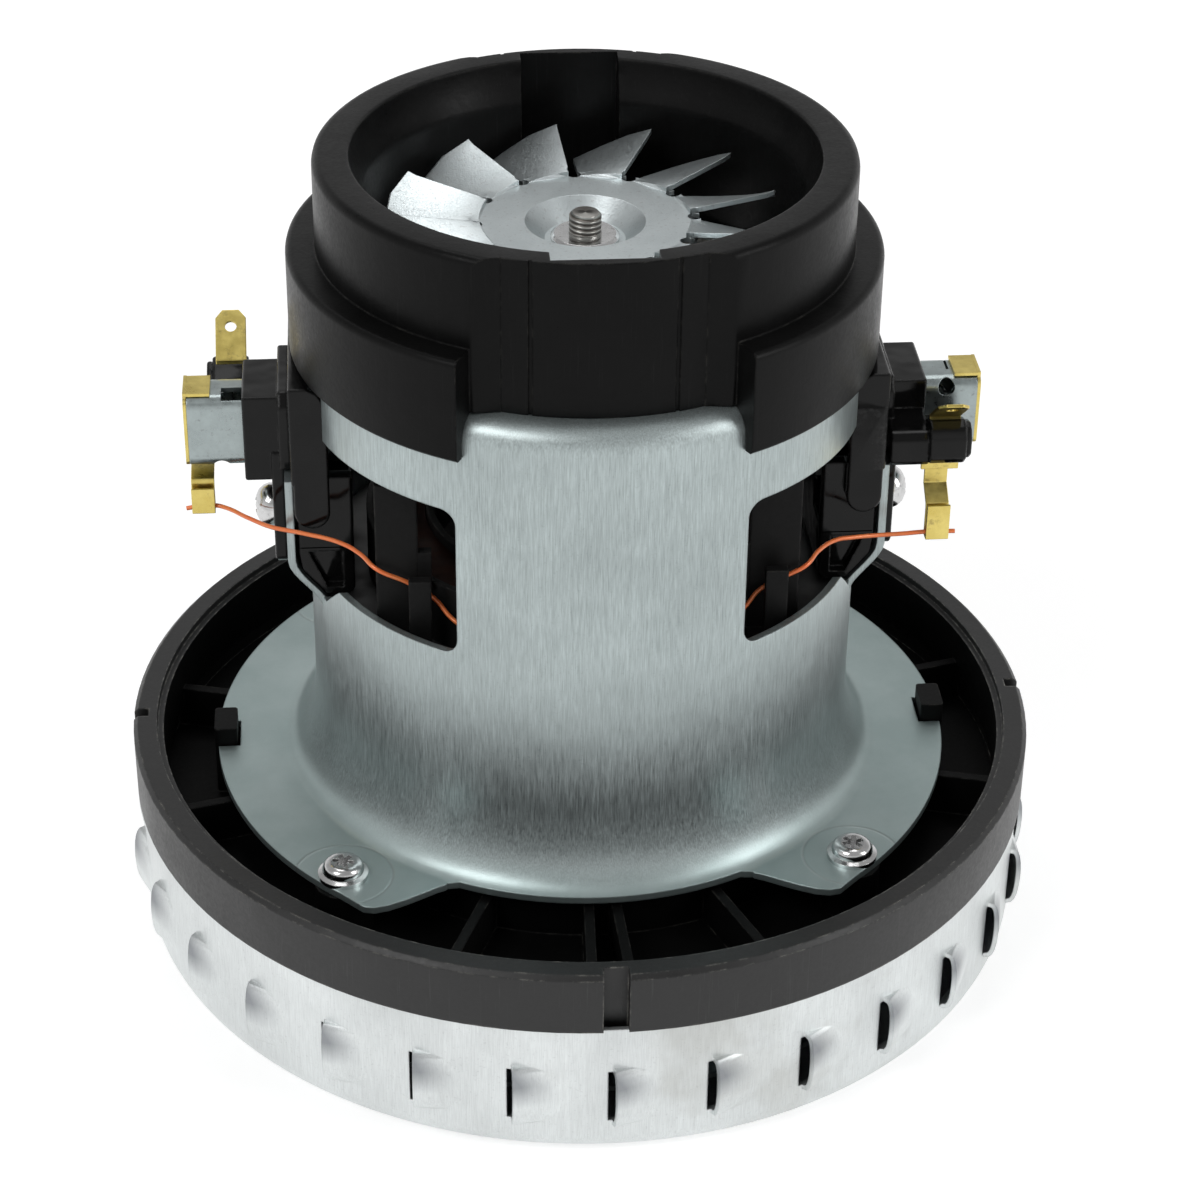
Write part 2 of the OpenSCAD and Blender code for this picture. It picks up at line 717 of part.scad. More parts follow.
module cooling_collar() {
    color(black)
    difference() {
        rotate_extrude($fn = 180) polygon(concat(
            [[throat_r, collar_seat], [shoulder_in, collar_seat]],
            arc(shoulder_in, can_top - shoulder_r, shoulder_r + skirt_in - can_r, 90, 0),
            [[skirt_in, skirt_z], [skirt_r - 0.5, skirt_z], [skirt_r, skirt_z + 0.5]],
            arc(skirt_r - 1, skirt_top - 1, 1, 0, 90, 3),
            [[collar_r, skirt_top]],
            arc(collar_r - 1.2, collar_top - 1.2, 1.2, 0, 90, 3),
            arc(mouth_in + 0.5, collar_top - 0.5, 0.5, 90, 180, 2),
            [[mouth_in - 0.3, collar_top - 2.4], [mouth_in - 1.2, collar_top - 4.6],
                [throat_r, collar_top - mouth_h]]));
        for (turn = [0, 180]) rotate([0, 0, turn]) {
            // The recessed panel at the front, down to the frame's shoulder
            difference() {
                front_wedge(recess_half_a, collar_seat - 8, collar_top + cut);
                translate([0, 0, collar_seat - 8 - cut]) cylinder(r = recess_r, h = 60);
            }
            // Sloping grooves beside the panel
            for (side = [0, 1]) mirror([side, 0, 0])
                translate([0, 0, collar_seat - 8]) linear_extrude(60)
                    polygon([polar(recess_r, recess_half_a - 90.5),
                        polar(collar_r + 0.05, recess_slope_a - 90),
                        polar(collar_r + 6, recess_slope_a - 90),
                        polar(collar_r + 6, recess_half_a - 90.5)]);
            // The wide skirt stops square beside the panel
            difference() {
                front_wedge(skirt_end_a, skirt_z - cut, skirt_top + 0.02);
                translate([0, 0, skirt_z - 2 * cut]) cylinder(r = collar_r, h = 60);
            }
            // Below the shoulder the panel ends on the frame's top
            front_wedge(skirt_end_a, skirt_z - cut, collar_seat);
            // The notch in the mouth's lip
            block([-lip_notch_half, -lip_notch_r, collar_seat + floor_t],
                [lip_notch_half, 0, collar_top + cut]);
            // Fine lines at the edges of the panel's middle
            for (side = [-1, 1]) rotate([0, 0, side * panel_a])
                block([-0.3, -recess_r - cut, collar_seat - cut],
                    [0.3, -recess_r + 0.3, collar_top + cut]);
        }
    }
}

// Brush gear

// The outline of the brush tube, drawn as [y, z]
module tube_outline(grow) {
    translate([0, brush_z])
        round_rect(tube_w + 2 * grow, tube_h + 2 * grow, tube_corner + grow);
}

module brush_holder() {
    color(black)
    difference() {
        union() {
            // Block round the tube, outside the frame
            along_x(block_x, block_end) polygon([
                [-block_half, block_low], [block_half, block_low], [block_half, block_high - 2.5],
                [block_half - 3.8, block_high], [-block_half + 3.8, block_high],
                [-block_half, block_high - 2.5]]);
            // Plate that closes the opening, and its leg down the tongue
            along_x(leg_x, leg_x + leg_t) polygon([
                [-leg_half, leg_low + 1], [-leg_half + 1, leg_low], [leg_half - 1, leg_low],
                [leg_half, leg_low + 1], [leg_half, plate_low - 2], [plate_half, plate_low],
                [plate_half, plate_shoulder], [block_half + 1, plate_high],
                [-block_half - 1, plate_high], [-plate_half, plate_shoulder],
                [-plate_half, plate_low], [-leg_half, plate_low - 2]]);
            // Body in the frame's opening, under the collar's skirt
            block([bar_in, -bar_half, tongue_top + 0.4],
                [body_out, bar_half, opening_top - 0.4]);
            block([body_out - 0.1, -plate_half, tongue_top + 0.4],
                [leg_x + 0.1, plate_half, plate_shoulder]);
            // Two bars that run down beside the tongue, and cheeks behind it
            for (side = [-1, 1]) {
                along_y(side > 0 ? bar_half - bar_w : -bar_half,
                        side > 0 ? bar_half : -bar_half + bar_w) union() {
                    translate([bar_in, bar_low + 2.7])
                        square([bar_out - bar_in, tongue_top - bar_low]);
                    translate([(bar_in + bar_out) / 2, bar_low + 2.7])
                        circle(r = (bar_out - bar_in) / 2, $fn = 48);
                }
                block([hook_in, side > 0 ? cheek_half - cheek_w : -cheek_half, hook_high - 1],
                    [body_out - 0.6, side > 0 ? cheek_half : -cheek_half + cheek_w,
                        tongue_top + 0.5]);
            }
            // Post that takes the screw
            block([hook_in, -post_half, hook_high - 1],
                [body_out - 0.6, post_half, holder_screw_z + 4.5]);
            // Hook behind the foot of the tongue
            along_y(-cheek_half, cheek_half) polygon([
                [hook_in, hook_low + 1], [hook_in + 1, hook_low],
                [tongue_face(hook_low) - can_sheet - 0.3, hook_low],
                [tongue_face(window_z) - can_sheet - 0.3, window_z],
                [body_out - 0.6, window_z + 3], [body_out - 0.6, hook_high],
                [hook_in, hook_high]]);
            // Boss that carries the terminal, on one side only
            along_x(boss_x, boss_end - 1.5) boss_outline();
            along_x(boss_end - 1.6, boss_end) offset_boss();
        }
        along_x(tube_in_end - 5, tube_end + 5) tube_outline(seat_gap);
        // Recessed windows in the hook's faces
        for (side = [-1, 1])
            along_y(side > 0 ? cheek_half - 1.6 : -cheek_half - cut,
                    side > 0 ? cheek_half + cut : -cheek_half + 1.6)
                polygon([[hook_in + 1.8, hook_low + 1.4], [hook_in + 4.2, hook_low + 1.4],
                    [hook_in + 7, hook_high - 1.2], [hook_in + 1.8, hook_high - 1.2]]);
        // Slot for the terminal strip
        block([strip_x - tee_w / 2 - strip_slot, -strip_y - strip_t / 2 - strip_slot, boss_low - cut],
            [strip_x + tee_w / 2 + strip_slot, -strip_y + strip_t / 2 + strip_slot, boss_high + 4]);
        // Screw hole through the leg
        translate([leg_x, 0, holder_screw_z]) rotate([0, 90, 0])
            cylinder(r = screw_r + 0.1, h = 20, center = true, $fn = 32);
    }
}

// The boss is sloped on top, towards its front, drawn as [y, z]
module boss_outline() {
    polygon([[-block_half + 0.5, boss_low], [-boss_y + 1.2, boss_low], [-boss_y, boss_low + 1.2],
        [-boss_y, boss_high - 4], [-strip_y - 1.2, boss_high], [-block_half + 0.5, boss_high + 2.4]]);
}

module offset_boss() {
    polygon([[-block_half + 0.5, boss_low + 1], [-boss_y + 2, boss_low + 1],
        [-boss_y + 1, boss_low + 2], [-boss_y + 1, boss_high - 4.2],
        [-strip_y - 1.2, boss_high - 0.8], [-block_half + 0.5, boss_high + 1.2]]);
}

module brush_tube() {
    color(zinc)
    difference() {
        along_x(tube_in_end, tube_end) tube_outline(0);
        along_x(tube_in_end - cut, tube_end + cut) tube_outline(-tube_wall);
        // Slot on top that shows the brush, the round vent and the half-round notch
        translate([block_end + 1.6, 0, brush_z + tube_h / 2])
            cube([3.6, tube_w - 3.6, 3 * tube_wall], center = true);
        translate([block_end + 3.5, -tube_w / 2, brush_z + 4.4]) rotate([90, 0, 0])
            cylinder(r = 1.15, h = 3, center = true, $fn = 32);
        translate([block_end + 3.6, 0, brush_z - tube_h / 2]) rotate([90, 0, 0])
            cylinder(r = 1.4, h = tube_w + 2, center = true, $fn = 32);
    }
}

module brush_cap() {
    color(brass) {
        along_x(tube_end + 0.02, tube_end + 0.02 + cap_t)
            translate([0, brush_z]) round_rect(tube_w - 0.6, tube_h - 0.4, 1.2);
        // Tab folded over the tube's top
        translate([tube_end - cap_tab_len, -tube_w / 2 + 1, brush_z + tube_h / 2 + 0.02])
            cube([cap_tab_len + cap_t, tube_w - 2, cap_t]);
        block([tube_end + 0.02, -tube_w / 2 + 1, brush_z + tube_h / 2 - 2],
            [tube_end + 0.02 + cap_t, tube_w / 2 - 1, brush_z + tube_h / 2 + 0.1 + cap_t]);
    }
}

// A bent strip's outline: a path of [y, z] points given the strip's thickness
function strip_side(path, side) = [for (i = [0 : len(path) - 1])
    let (
        last = len(path) - 1,
        back = i > 0 ? unit(path[i] - path[i - 1]) : unit(path[1] - path[0]),
        ahead = i < last ? unit(path[i + 1] - path[i]) : back,
        mid = unit(back + ahead),
        reach = strip_t / 2 / max(0.6, mid * ahead)
    )
    path[i] + side * reach * [-mid[1], mid[0]]];

module strip(x0, x1, path) {
    turned = [for (i = [len(path) - 1 : -1 : 0]) strip_side(path, -1)[i]];
    along_x(x0, x1) polygon(concat(strip_side(path, 1), turned));
}

module terminal_blade() {
    // Wide part in the boss
    block([strip_x - tee_w / 2, -strip_y - strip_t / 2 - 0.02, boss_low - 1.2],
        [strip_x + tee_w / 2, -strip_y + strip_t / 2 + 0.02, boss_high - 1]);
    // Blade bent away from the tube, with cut corners and a hole near its tip
    tip = [-strip_y - blade_len * sin(blade_tilt), strip_bend_z + blade_len * cos(blade_tilt)];
    hole = tip + 3 * [sin(blade_tilt), -cos(blade_tilt)];
    difference() {
        intersection() {
            strip(strip_x - blade_w / 2, strip_x + blade_w / 2,
                [[-strip_y, boss_high - 2], [-strip_y, strip_bend_z], tip]);
            along_y(-40, 0) polygon([[strip_x - blade_w, boss_high - 3],
                [strip_x + blade_w, boss_high - 3], [strip_x + blade_w, tip[1] - 1.9],
                [strip_x + blade_w / 2 - 1, tip[1] + 1], [strip_x - blade_w / 2 + 1, tip[1] + 1],
                [strip_x - blade_w, tip[1] - 1.9]]);
        }
        translate([strip_x, hole[0], hole[1]]) rotate([90 + blade_tilt, 0, 0])
            cylinder(r = blade_hole_r, h = 4, center = true, $fn = 32);
    }
}

// The tails run from the boss down to a fold that grips the lead
tail_x0 = strip_x - 0.8 - tail_w / 2;
tail_x1 = tail_x0 + tail_w;
tail_right = [[-strip_y, boss_low - 1], [-strip_y, boss_low - 3.2], [-hook_y_right + 0.8, 77.8],
    [-hook_y_right + fold_half, 77], [-hook_y_right + fold_half, hook_z_right - 0.7],
    [-hook_y_right - fold_half, hook_z_right - 0.7], [-hook_y_right - fold_half, 77.2]];
tail_left_top = [[-strip_y, boss_low - 1], [-strip_y, boss_low - 3.2],
    [-strip_y + 1.6, boss_low - 4.4], [-6.5, boss_low - 4.6]];
tail_left_cross = [[-9.5, boss_low - 4.5], [-6, boss_low - 4.6]];
tail_left_end = [[-9.5, boss_low - 4.5], [-0.6, boss_low - 4.8], [hook_y_left - 0.9, boss_low - 5.6],
    [hook_y_left - fold_half, 77.4], [hook_y_left - fold_half, hook_z_left - 0.7],
    [hook_y_left + fold_half, hook_z_left - 0.7], [hook_y_left + fold_half, 78]];

module brush_spring() {
    path_end = tube_end - 0.3;
    start = commutator_r + run_gap + brush_len + 0.1 + spring_wire / 2;
    steps = spring_turns * 8;
    color(zinc)
    translate([0, 0, brush_z])
        swept_tube([for (i = [0 : steps]) let (a = 360 * i / 8)
            [start + (path_end - start) * i / steps, spring_r * cos(a), spring_r * sin(a)]],
            spring_wire / 2, 6);
}

module carbon_brush() {
    w = tube_w - 2 * tube_wall - 2 * brush_gap;
    h = tube_h - 2 * tube_wall - 2 * brush_gap;
    color(carbon)
    difference() {
        along_x(brush_face_r - 1, brush_face_r + brush_len)
            translate([0, brush_z]) round_rect(w, h, 1.1);
        translate([0, 0, brush_z - 10]) cylinder(r = brush_face_r, h = 20);
    }
}

module holder_screw() {
    translate([leg_x + leg_t + 0.02, 0, holder_screw_z]) rotate([0, 90, 0])
        pan_screw(holder_screw_head_r, holder_screw_head_h, 6);
}

// The routes are drawn for a can of the radius lead_can_r, and stretch with it.
// Outside the can they keep their distance in Y, because the folds do.
module lead(points) {
    stretch = can_r / lead_can_r;
    color(copper) swept_tube(
        curve([for (p = points)
            [p[0] * stretch, p[1] * (p[0] < lead_can_r - 3 ? stretch : 1), p[2]]], lead_steps),
        lead_d / 2, lead_sides);
}

// Field

module field_core() {
    color(core_steel)
    translate([0, 0, stack_z]) linear_extrude(stack_h)
        difference() {
            circle(r = field_r);
            circle(r = pole_face_r);
            difference() {
                circle(r = yoke_in);
                square([100, 2 * pole_half], center = true);
                intersection() {
                    circle(r = shoe_r);
                    for (side = [0, 180]) rotate([0, 0, side])
                        polygon([[0, 0], polar(60, -shoe_half_a), polar(60, shoe_half_a)]);
                }
            }
        }
}

module field_coil() {
    color(copper)
    difference() {
        ring_sector(coil_in, coil_out, stack_z - coil_end_h, stack_top + coil_end_h,
            -coil_half_a, coil_half_a);
        block([0, -pole_half - 0.7, stack_z - 0.8], [60, pole_half + 0.7, stack_top + 0.8]);
    }
}

module field_bobbin(wide) {
    color(dark_grey)
    for (end = [0, 1]) {
        z0 = end == 0 ? stack_top + 0.02 : stack_z - coil_end_h - 1.5;
        z1 = end == 0 ? bobbin_top : stack_z - 0.02;
        floor0 = end == 0 ? z0 : stack_z - 0.72;
        // Inner and outer walls and the floor under the coil's end turns
        for (r = [[coil_in - 0.15 - bobbin_wall, coil_in - 0.15],
                [coil_out + 0.15, coil_out + 0.15 + bobbin_wall]])
            ring_sector(r[0], r[1], z0, z1, -bobbin_half_a, bobbin_half_a);
        ring_sector(coil_in - 0.2, coil_out + 0.2, floor0, floor0 + 0.7, -24, 24);
    }
    // Flat guards beside the brush gear, and the posts that keep the leads in place
    color(dark_grey)
    for (side = [-1, 1])
        lead_guard(side, field_r - (side > 0 ? 15.25 : 18.45), field_r - (side > 0 ? 8.85 : 10.65),
            field_r - (side > 0 ? 17.05 : 16.25));
}

module lead_guard(side, x0, x1, post_x) {
    foot_top = stack_top + 1.2;
    intersection() {
        mirror([0, side > 0 ? 0 : 1, 0]) {
            block([x0, guard_y, stack_top + 0.02], [x1, guard_y + guard_t, guard_top]);
            block([x0 - 2, guard_y, foot_top + 8], [x0 + 1, guard_y + guard_t, foot_top + 15]);
            block([post_x, post_y, stack_top + 0.02], [post_x + 3.4, post_y + guard_t, post_top]);
            block([x0, guard_y, stack_top + 0.02], [x1, post_y + guard_t, foot_top]);
        }
        difference() {
            cylinder(r = field_r - 0.4, h = 200);
            translate([0, 0, -cut]) cylinder(r = coil_out + 0.2, h = 202);
        }
    }
}

// Bearings

module bearing_profile(r0, r1, groove_side) {
    difference() {
        translate([r0, 0]) square([r1 - r0, bearing_w]);
        translate([bearing_pitch, bearing_w / 2]) circle(r = bearing_ball_r + seat_gap, $fn = 48);
    }
}

module bearing_outer(z) {
    shield_in = bearing_inner_r + 0.08;
    color(zinc)
    translate([0, 0, z]) {
        rotate_extrude() union() {
            bearing_profile(bearing_r - 1.9, bearing_r, 1);
            for (y = [0.3, bearing_w - 0.7])
                translate([shield_in, y]) square([bearing_r - 1.5 - shield_in, 0.4]);
        }
    }
}

module bearing_inner(z) {
    color(zinc)
    translate([0, 0, z]) rotate_extrude() bearing_profile(shaft_r + 0.02, bearing_inner_r, -1);
}

module bearing_balls(z) {
    color(zinc)
    for (k = [0 : ball_count - 1]) rotate([0, 0, k * 360 / ball_count])
        translate([bearing_pitch, 0, z + bearing_w / 2]) sphere(r = bearing_ball_r, $fn = 24);
}

// Rotor

module rotor_shaft() {
    color(zinc)
    rotate_extrude() polygon([
        [0, shaft_low], [shaft_r - 0.5, shaft_low], [shaft_r, shaft_low + 0.5],
        [shaft_r, cup_top + 0.6], [thread_r, cup_top + 0.6],
        [thread_r, shaft_tip - 0.5], [thread_r - 0.5, shaft_tip], [0, shaft_tip]]);
}

module slot_outline() {
    for (k = [0 : armature_slots - 1]) rotate([0, 0, k * 360 / armature_slots]) {
        translate([armature_r * 0.72, 0]) circle(r = armature_r * 0.115, $fn = 24);
        translate([armature_r * 0.72, -armature_r * 0.115])
            square([armature_r * 0.14, armature_r * 0.23]);
        translate([armature_r * 0.72, -1]) square([armature_r, 2]);
    }
}

module armature_core() {
    color(core_steel)
    translate([0, 0, stack_z]) linear_extrude(stack_h)
        difference() {
            circle(r = armature_r);
            circle(r = shaft_r + 0.02);
            slot_outline();
        }
}

module armature_winding() {
    outer = armature_r * 0.93;
    inner = armature_r * 0.44;
    slot_r = armature_r * 0.115 - 0.25;
    color(copper)
    difference() {
        union() {
            rotate_extrude() polygon(concat(
                [[inner, stack_z - 0.02], [inner, armature_end_low]],
                arc(outer - 2.4, armature_end_low + 2.4, 2.4, -90, 0, 4),
                [[outer, stack_z - 0.02]]));
            rotate_extrude() polygon(concat(
                [[inner, stack_top + 0.02], [outer, stack_top + 0.02]],
                arc(outer - 3, stack_top + 5.5, 3, 0, 70, 4),
                [[riser_r - 0.6, riser_z - 0.6], [inner, riser_z - 0.6]]));
            for (k = [0 : armature_slots - 1]) rotate([0, 0, k * 360 / armature_slots])
                translate([armature_r * 0.72, 0, stack_z - 1])
                    cylinder(r = slot_r, h = stack_h + 2, $fn = 24);
        }
    }
}

module commutator() {
    mica = 0.5;
    color(copper)
    difference() {
        rotate_extrude() polygon([
            [shaft_r + 0.02, riser_z], [riser_r, riser_z], [riser_r, riser_z + riser_h],
            [commutator_r, riser_z + riser_h + 0.8], [commutator_r, commutator_top - 0.5],
            [commutator_r - 0.5, commutator_top], [shaft_r + 0.02, commutator_top]]);
        for (k = [0 : commutator_bars - 1]) rotate([0, 0, k * 360 / commutator_bars])
            block([commutator_r - 0.8, -mica / 2, riser_z + riser_h],
                [riser_r + 1, mica / 2, commutator_top + cut]);
    }
}

// One blade of the cooling fan: a twisted plate between the disc and the tip
module fan_blade() {
    steps = 5;
    spans = 3;
    rings = [for (j = [0 : steps]) let (
            t = j / steps,
            lead_z = fan_z - fan_sheet + blade_root_lift + (blade_rise - blade_root_lift) * t,
            trail_z = fan_z - fan_sheet - blade_drop * t,
            r_here = blade_root_r + (fan_r - blade_root_r) * t,
            top = [for (i = [0 : spans]) let (s = i / spans,
                    clip = j == steps && i == 0 ? 1.5 : 0)
                concat(polar(r_here - clip, blade_chord_a * s), [lead_z + (trail_z - lead_z) * s])]
        )
        concat(
            [for (i = [0 : spans]) top[i]],
            [for (i = [spans : -1 : 0]) top[i] + [0, 0, fan_sheet]])];
    loft(rings);
}

module cooling_fan() {
    color(aluminium)
    difference() {
        union() {
            rotate_extrude() polygon([
                [thread_r + 0.02, fan_floor - fan_sheet], [fan_dish_r, fan_floor - fan_sheet],
                [fan_dish_out, fan_z - fan_sheet], [fan_disc_r, fan_z - fan_sheet],
                [fan_disc_r, fan_z], [fan_dish_out - 0.3, fan_z],
                [fan_dish_r - 0.3, fan_floor], [thread_r + 0.02, fan_floor]]);
            for (k = [0 : fan_blades - 1])
                rotate([0, 0, blade_start_a + k * 360 / fan_blades]) fan_blade();
        }
        // Relief holes at the roots of the blades
        for (k = [0 : fan_blades - 1])
            rotate([0, 0, blade_start_a - 3 + k * 360 / fan_blades])
                translate([blade_root_r + 0.6, 0, fan_z - 3]) cylinder(r = 1.1, h = 6, $fn = 16);
    }
}

module fan_bush() {
    color(zinc) tube(thread_r + 0.02, shaft_r + 1, cup_top + 0.62, fan_floor - fan_sheet);
}

module fan_washer() {
    color(zinc)
    rotate_extrude() polygon([
        [thread_r + 0.02, fan_floor], [washer_r, fan_floor], [washer_r, fan_floor + 0.5],
        [washer_r - 0.5, fan_floor + fan_washer_h], [thread_r + 0.02, fan_floor + fan_washer_h]]);
}

// Impeller

module impeller_back_plate() {
    color(aluminium)
    tube(shaft_r + 0.02, impeller_r, back_plate_z, back_plate_z + back_plate_t);
}

module impeller_front_plate() {
    color(aluminium) {
        tube(plate_eye_r, impeller_r, front_plate_z, front_plate_z + plate_t);
        tube(plate_eye_r, plate_eye_r + plate_t, front_plate_z - 1.8, front_plate_z + 0.1);
    }
}

// One backward-curved vane, seen from above
function vane_point(t, side) =
    let (r = vane_in + (impeller_r - 1 - vane_in) * t)
    polar(r, -62 * pow(t, 0.85) + side * vane_t / 2 / r * 180 / PI);

module impeller_vane_set() {
    color(aluminium)
    for (k = [0 : impeller_vanes - 1]) rotate([0, 0, k * 360 / impeller_vanes])
        translate([0, 0, vane_z]) linear_extrude(back_plate_z - vane_z)
            polygon(concat(
                [for (i = [0 : 10]) vane_point(i / 10, -1)],
                [for (i = [10 : -1 : 0]) vane_point(i / 10, 1)]));
}

module impeller_spacer() {
    color(zinc)
    tube(shaft_r + 0.02, spacer_r, back_plate_z + back_plate_t, lower_bearing_z);
}

module impeller_nut() {
    color(zinc)
    difference() {
        translate([0, 0, nut_z]) cylinder(r = nut_r * 2 / sqrt(3), h = nut_h, $fn = 6);
        translate([0, 0, nut_z - cut]) cylinder(r = shaft_r + 0.02, h = nut_h + 2 * cut);
    }
}

module brush_holder_left() { left_side() brush_holder(); }
module brush_holder_right() { brush_holder(); }
module brush_tube_left() { left_side() brush_tube(); }
module brush_tube_right() { brush_tube(); }
module brush_cap_left() { left_side() brush_cap(); }
module brush_cap_right() { brush_cap(); }
module terminal_left() {
    left_side() color(brass) {
        terminal_blade();
        strip(tail_x0, tail_x1, tail_left_top);
        strip(tail_x0, tail_x1 + tail_left_out, tail_left_cross);
        strip(tail_x0 + tail_left_out, tail_x1 + tail_left_out, tail_left_end);
    }
}
module terminal_right() {
    color(brass) {
        terminal_blade();
        strip(tail_x0, tail_x1, tail_right);
    }
}
module holder_screws() {
    color(zinc) {
        holder_screw();
        left_side() holder_screw();
    }
}
module brush_spring_left() { left_side() brush_spring(); }
module brush_spring_right() { brush_spring(); }
module field_bobbin_left() { left_side() field_bobbin(1); }
module field_bobbin_right() { field_bobbin(1); }
module field_coil_left() { left_side() field_coil(); }
module field_coil_right() { field_coil(); }
module field_lead_left() { left_side() lead(lead_left); }
module field_lead_right() { lead(lead_right); }
module lower_bearing_outer() { bearing_outer(lower_bearing_z); }
module upper_bearing_outer() { bearing_outer(upper_bearing_z); }
module lower_bearing_balls() { bearing_balls(lower_bearing_z); }
module upper_bearing_balls() { bearing_balls(upper_bearing_z); }
module lower_bearing_inner() { bearing_inner(lower_bearing_z); }
module upper_bearing_inner() { bearing_inner(upper_bearing_z); }
module carbon_brush_left() { left_side() carbon_brush(); }
module carbon_brush_right() { carbon_brush(); }

fan_shell();
base_ring();
stator_frame();
cooling_collar();
flange_screws();
brush_holder_left();
brush_holder_right();
brush_tube_left();
brush_tube_right();
brush_cap_left();
brush_cap_right();
terminal_left();
terminal_right();
holder_screws();
brush_spring_left();
brush_spring_right();
field_core();
field_bobbin_left();
field_bobbin_right();
field_coil_left();
field_coil_right();
field_lead_left();
field_lead_right();
lower_bearing_outer();
upper_bearing_outer();
lower_bearing_balls();
upper_bearing_balls();
lower_bearing_inner();
upper_bearing_inner();
rotor_shaft();
armature_core();
armature_winding();
commutator();
cooling_fan();
fan_bush();
fan_washer();
impeller_back_plate();
impeller_vane_set();
impeller_front_plate();
impeller_spacer();
impeller_nut();
carbon_brush_left();
carbon_brush_right();
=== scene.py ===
"""Looks of the vacuum motor unit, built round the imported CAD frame. Metres, +Z up, front at -Y."""

import json
import math

import bmesh
import bpy
from mathutils import Matrix, Vector


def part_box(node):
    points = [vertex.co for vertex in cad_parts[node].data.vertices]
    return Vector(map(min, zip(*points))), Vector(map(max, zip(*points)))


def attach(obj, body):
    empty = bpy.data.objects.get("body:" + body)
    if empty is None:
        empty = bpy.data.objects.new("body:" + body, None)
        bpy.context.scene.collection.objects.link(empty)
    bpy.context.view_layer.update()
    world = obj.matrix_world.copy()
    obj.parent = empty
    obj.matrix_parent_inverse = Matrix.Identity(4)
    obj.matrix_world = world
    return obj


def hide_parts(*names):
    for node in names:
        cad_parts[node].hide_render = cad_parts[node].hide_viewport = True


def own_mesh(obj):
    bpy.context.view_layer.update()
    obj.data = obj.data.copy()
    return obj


MM = 0.001

# The camera's place and direction, worked out from the photograph's ellipses and edges
CAMERA_AT = Vector((-0.033405, -0.424456, 0.320810))
CAMERA_LOOK = Vector((0.07231718, 0.8437367, -0.53186333))
CAMERA_ROLL = math.radians(0.75855)
CAMERA_LENS_MM = 93.46
SENSOR_MM = 36.0

# Heights and radii of the CAD model that the finishes follow
FLANGE_TOP = 29.7 * MM
SHELL_R = 72.4 * MM
LOUVRE_MID = 11.5 * MM
RIM_IN_R = 68.2 * MM
SCREW_CIRCLE = 55.8 * MM
SCREW_ANGLES = [45, 135, 225, 315]
SCREW_MARK_R = 7.6 * MM
THREAD_FROM = 118.8 * MM
THREAD_PITCH = 0.8 * MM
# Radians in a metre of the waves that draw the windings' strands and the cores' sheets
STRAND_WAVE = 4300
SHEET_WAVE = 6283

# The copper leads' routes, in mm. Like the brush gear, both are drawn on the right side, and
# the left one is then turned half round the axis.
LEAD_RIGHT = [
    (56.6, -15.85, 73.8), (54, -15.85, 73.85), (52, -15.8, 73.8), (48.5, -16, 73.7),
    (45, -16.4, 73.8), (40.3, -18, 74.5), (37.4, -19.5, 75), (34.4, -22.4, 75),
    (32, -25.4, 74.2), (29, -26, 72.9), (25, -26.1, 70.6), (22.6, -27.5, 68.4),
    (20.6, -28.4, 67.2), (19.4, -26.4, 66.4), (19.7, -24.2, 66)]
LEAD_LEFT = [
    (62, 2.9, 74.4), (59.8, 2.9, 74.75), (57.4, 2.9, 74.75), (56.2, 3.4, 74.7),
    (52.4, 7.9, 75.3), (48.8, 11.9, 75.9), (46.3, 13.9, 76.4), (43.8, 15.8, 76.9),
    (38, 19.6, 77.2), (35.2, 22.6, 77), (32.8, 25.8, 76.2), (28.2, 26, 73.8), (24.2, 26.1, 70.8),
    (22, 27.8, 68.6), (20.4, 28.6, 67.6), (19.4, 26.6, 66.6), (19.7, 24.2, 66)]
LEAD_R = 0.35 * MM

# The brush gear's sizes and places on the right side, in mm, as fitted to the photograph
BRUSH_Z = 88.0
TUBE_W = 8.0
TUBE_H = 12.0
TUBE_WALL = 0.8
TUBE_CORNER = 2.0
TUBE_SEAT_GAP = 0.05
TUBE_HOLE_R = 1.3
TUBE_HOLE_AT = (56.1, 92.5)
TUBE_NOTCH_R = 1.25
STRIP_T = 0.5
STRIP_X = 54.5
STRIP_Y = -12.1
TAIL_X = (51.9, 55.5)
TAIL_LEFT_OUT = 5.6
BLADE_W = 4.8
BLADE_LEN = 8.6
BLADE_FOOT_Z = 92.3
BLADE_TILT = 52.6
BLADE_HOLE_R = 0.92
BOSS_AT = (-11, 88.4)
BOSS_END_SCALE = 0.84
BAR_MID = (42.3, 79.7)
BAR_R = 2.7
LEG_X = (46.45, 48.45)
SCREW_Z = 73.0
SPRING_R = 2.45
SPRING_WIRE_R = 0.3
SPRING_TURNS = 9
# How far each kind of piece has its edges rounded
RESIN_ROUND = 0.4
GUARD_ROUND = 0.2
SHEET_ROUND = 0.12
# The inner face of the frame's tongue, which the holder's hook lies on, as x, z
HOOK_FACE = [(40.7, 63.5), (44.25, 68)]
# The plates beside the gear, which stand on the bobbins
GUARD_Y = (23.17, 24.83)
GUARD_Z = (62.05, 90)

WHITE = (1.0, 1.0, 1.0, 1.0)
# How bright the paper and the room are, apart from where a ray from the camera sees them
PAPER = 0.6
ROOM = 0.36
SMOOTH_ANGLE = math.radians(32)


def grey(level):
    """A neutral colour at one linear level."""
    return (level, level, level, 1.0)


def new_tree(owner):
    """The empty node tree of a material or world."""
    owner.use_nodes = True
    owner.node_tree.nodes.clear()
    return owner.node_tree


def set_inputs(tree, node, inputs):
    """Joins each input of a node to a socket, or sets it to a value."""
    for key, value in inputs.items():
        if isinstance(value, bpy.types.NodeSocket):
            tree.links.new(value, node.inputs[key])
        else:
            node.inputs[key].default_value = value


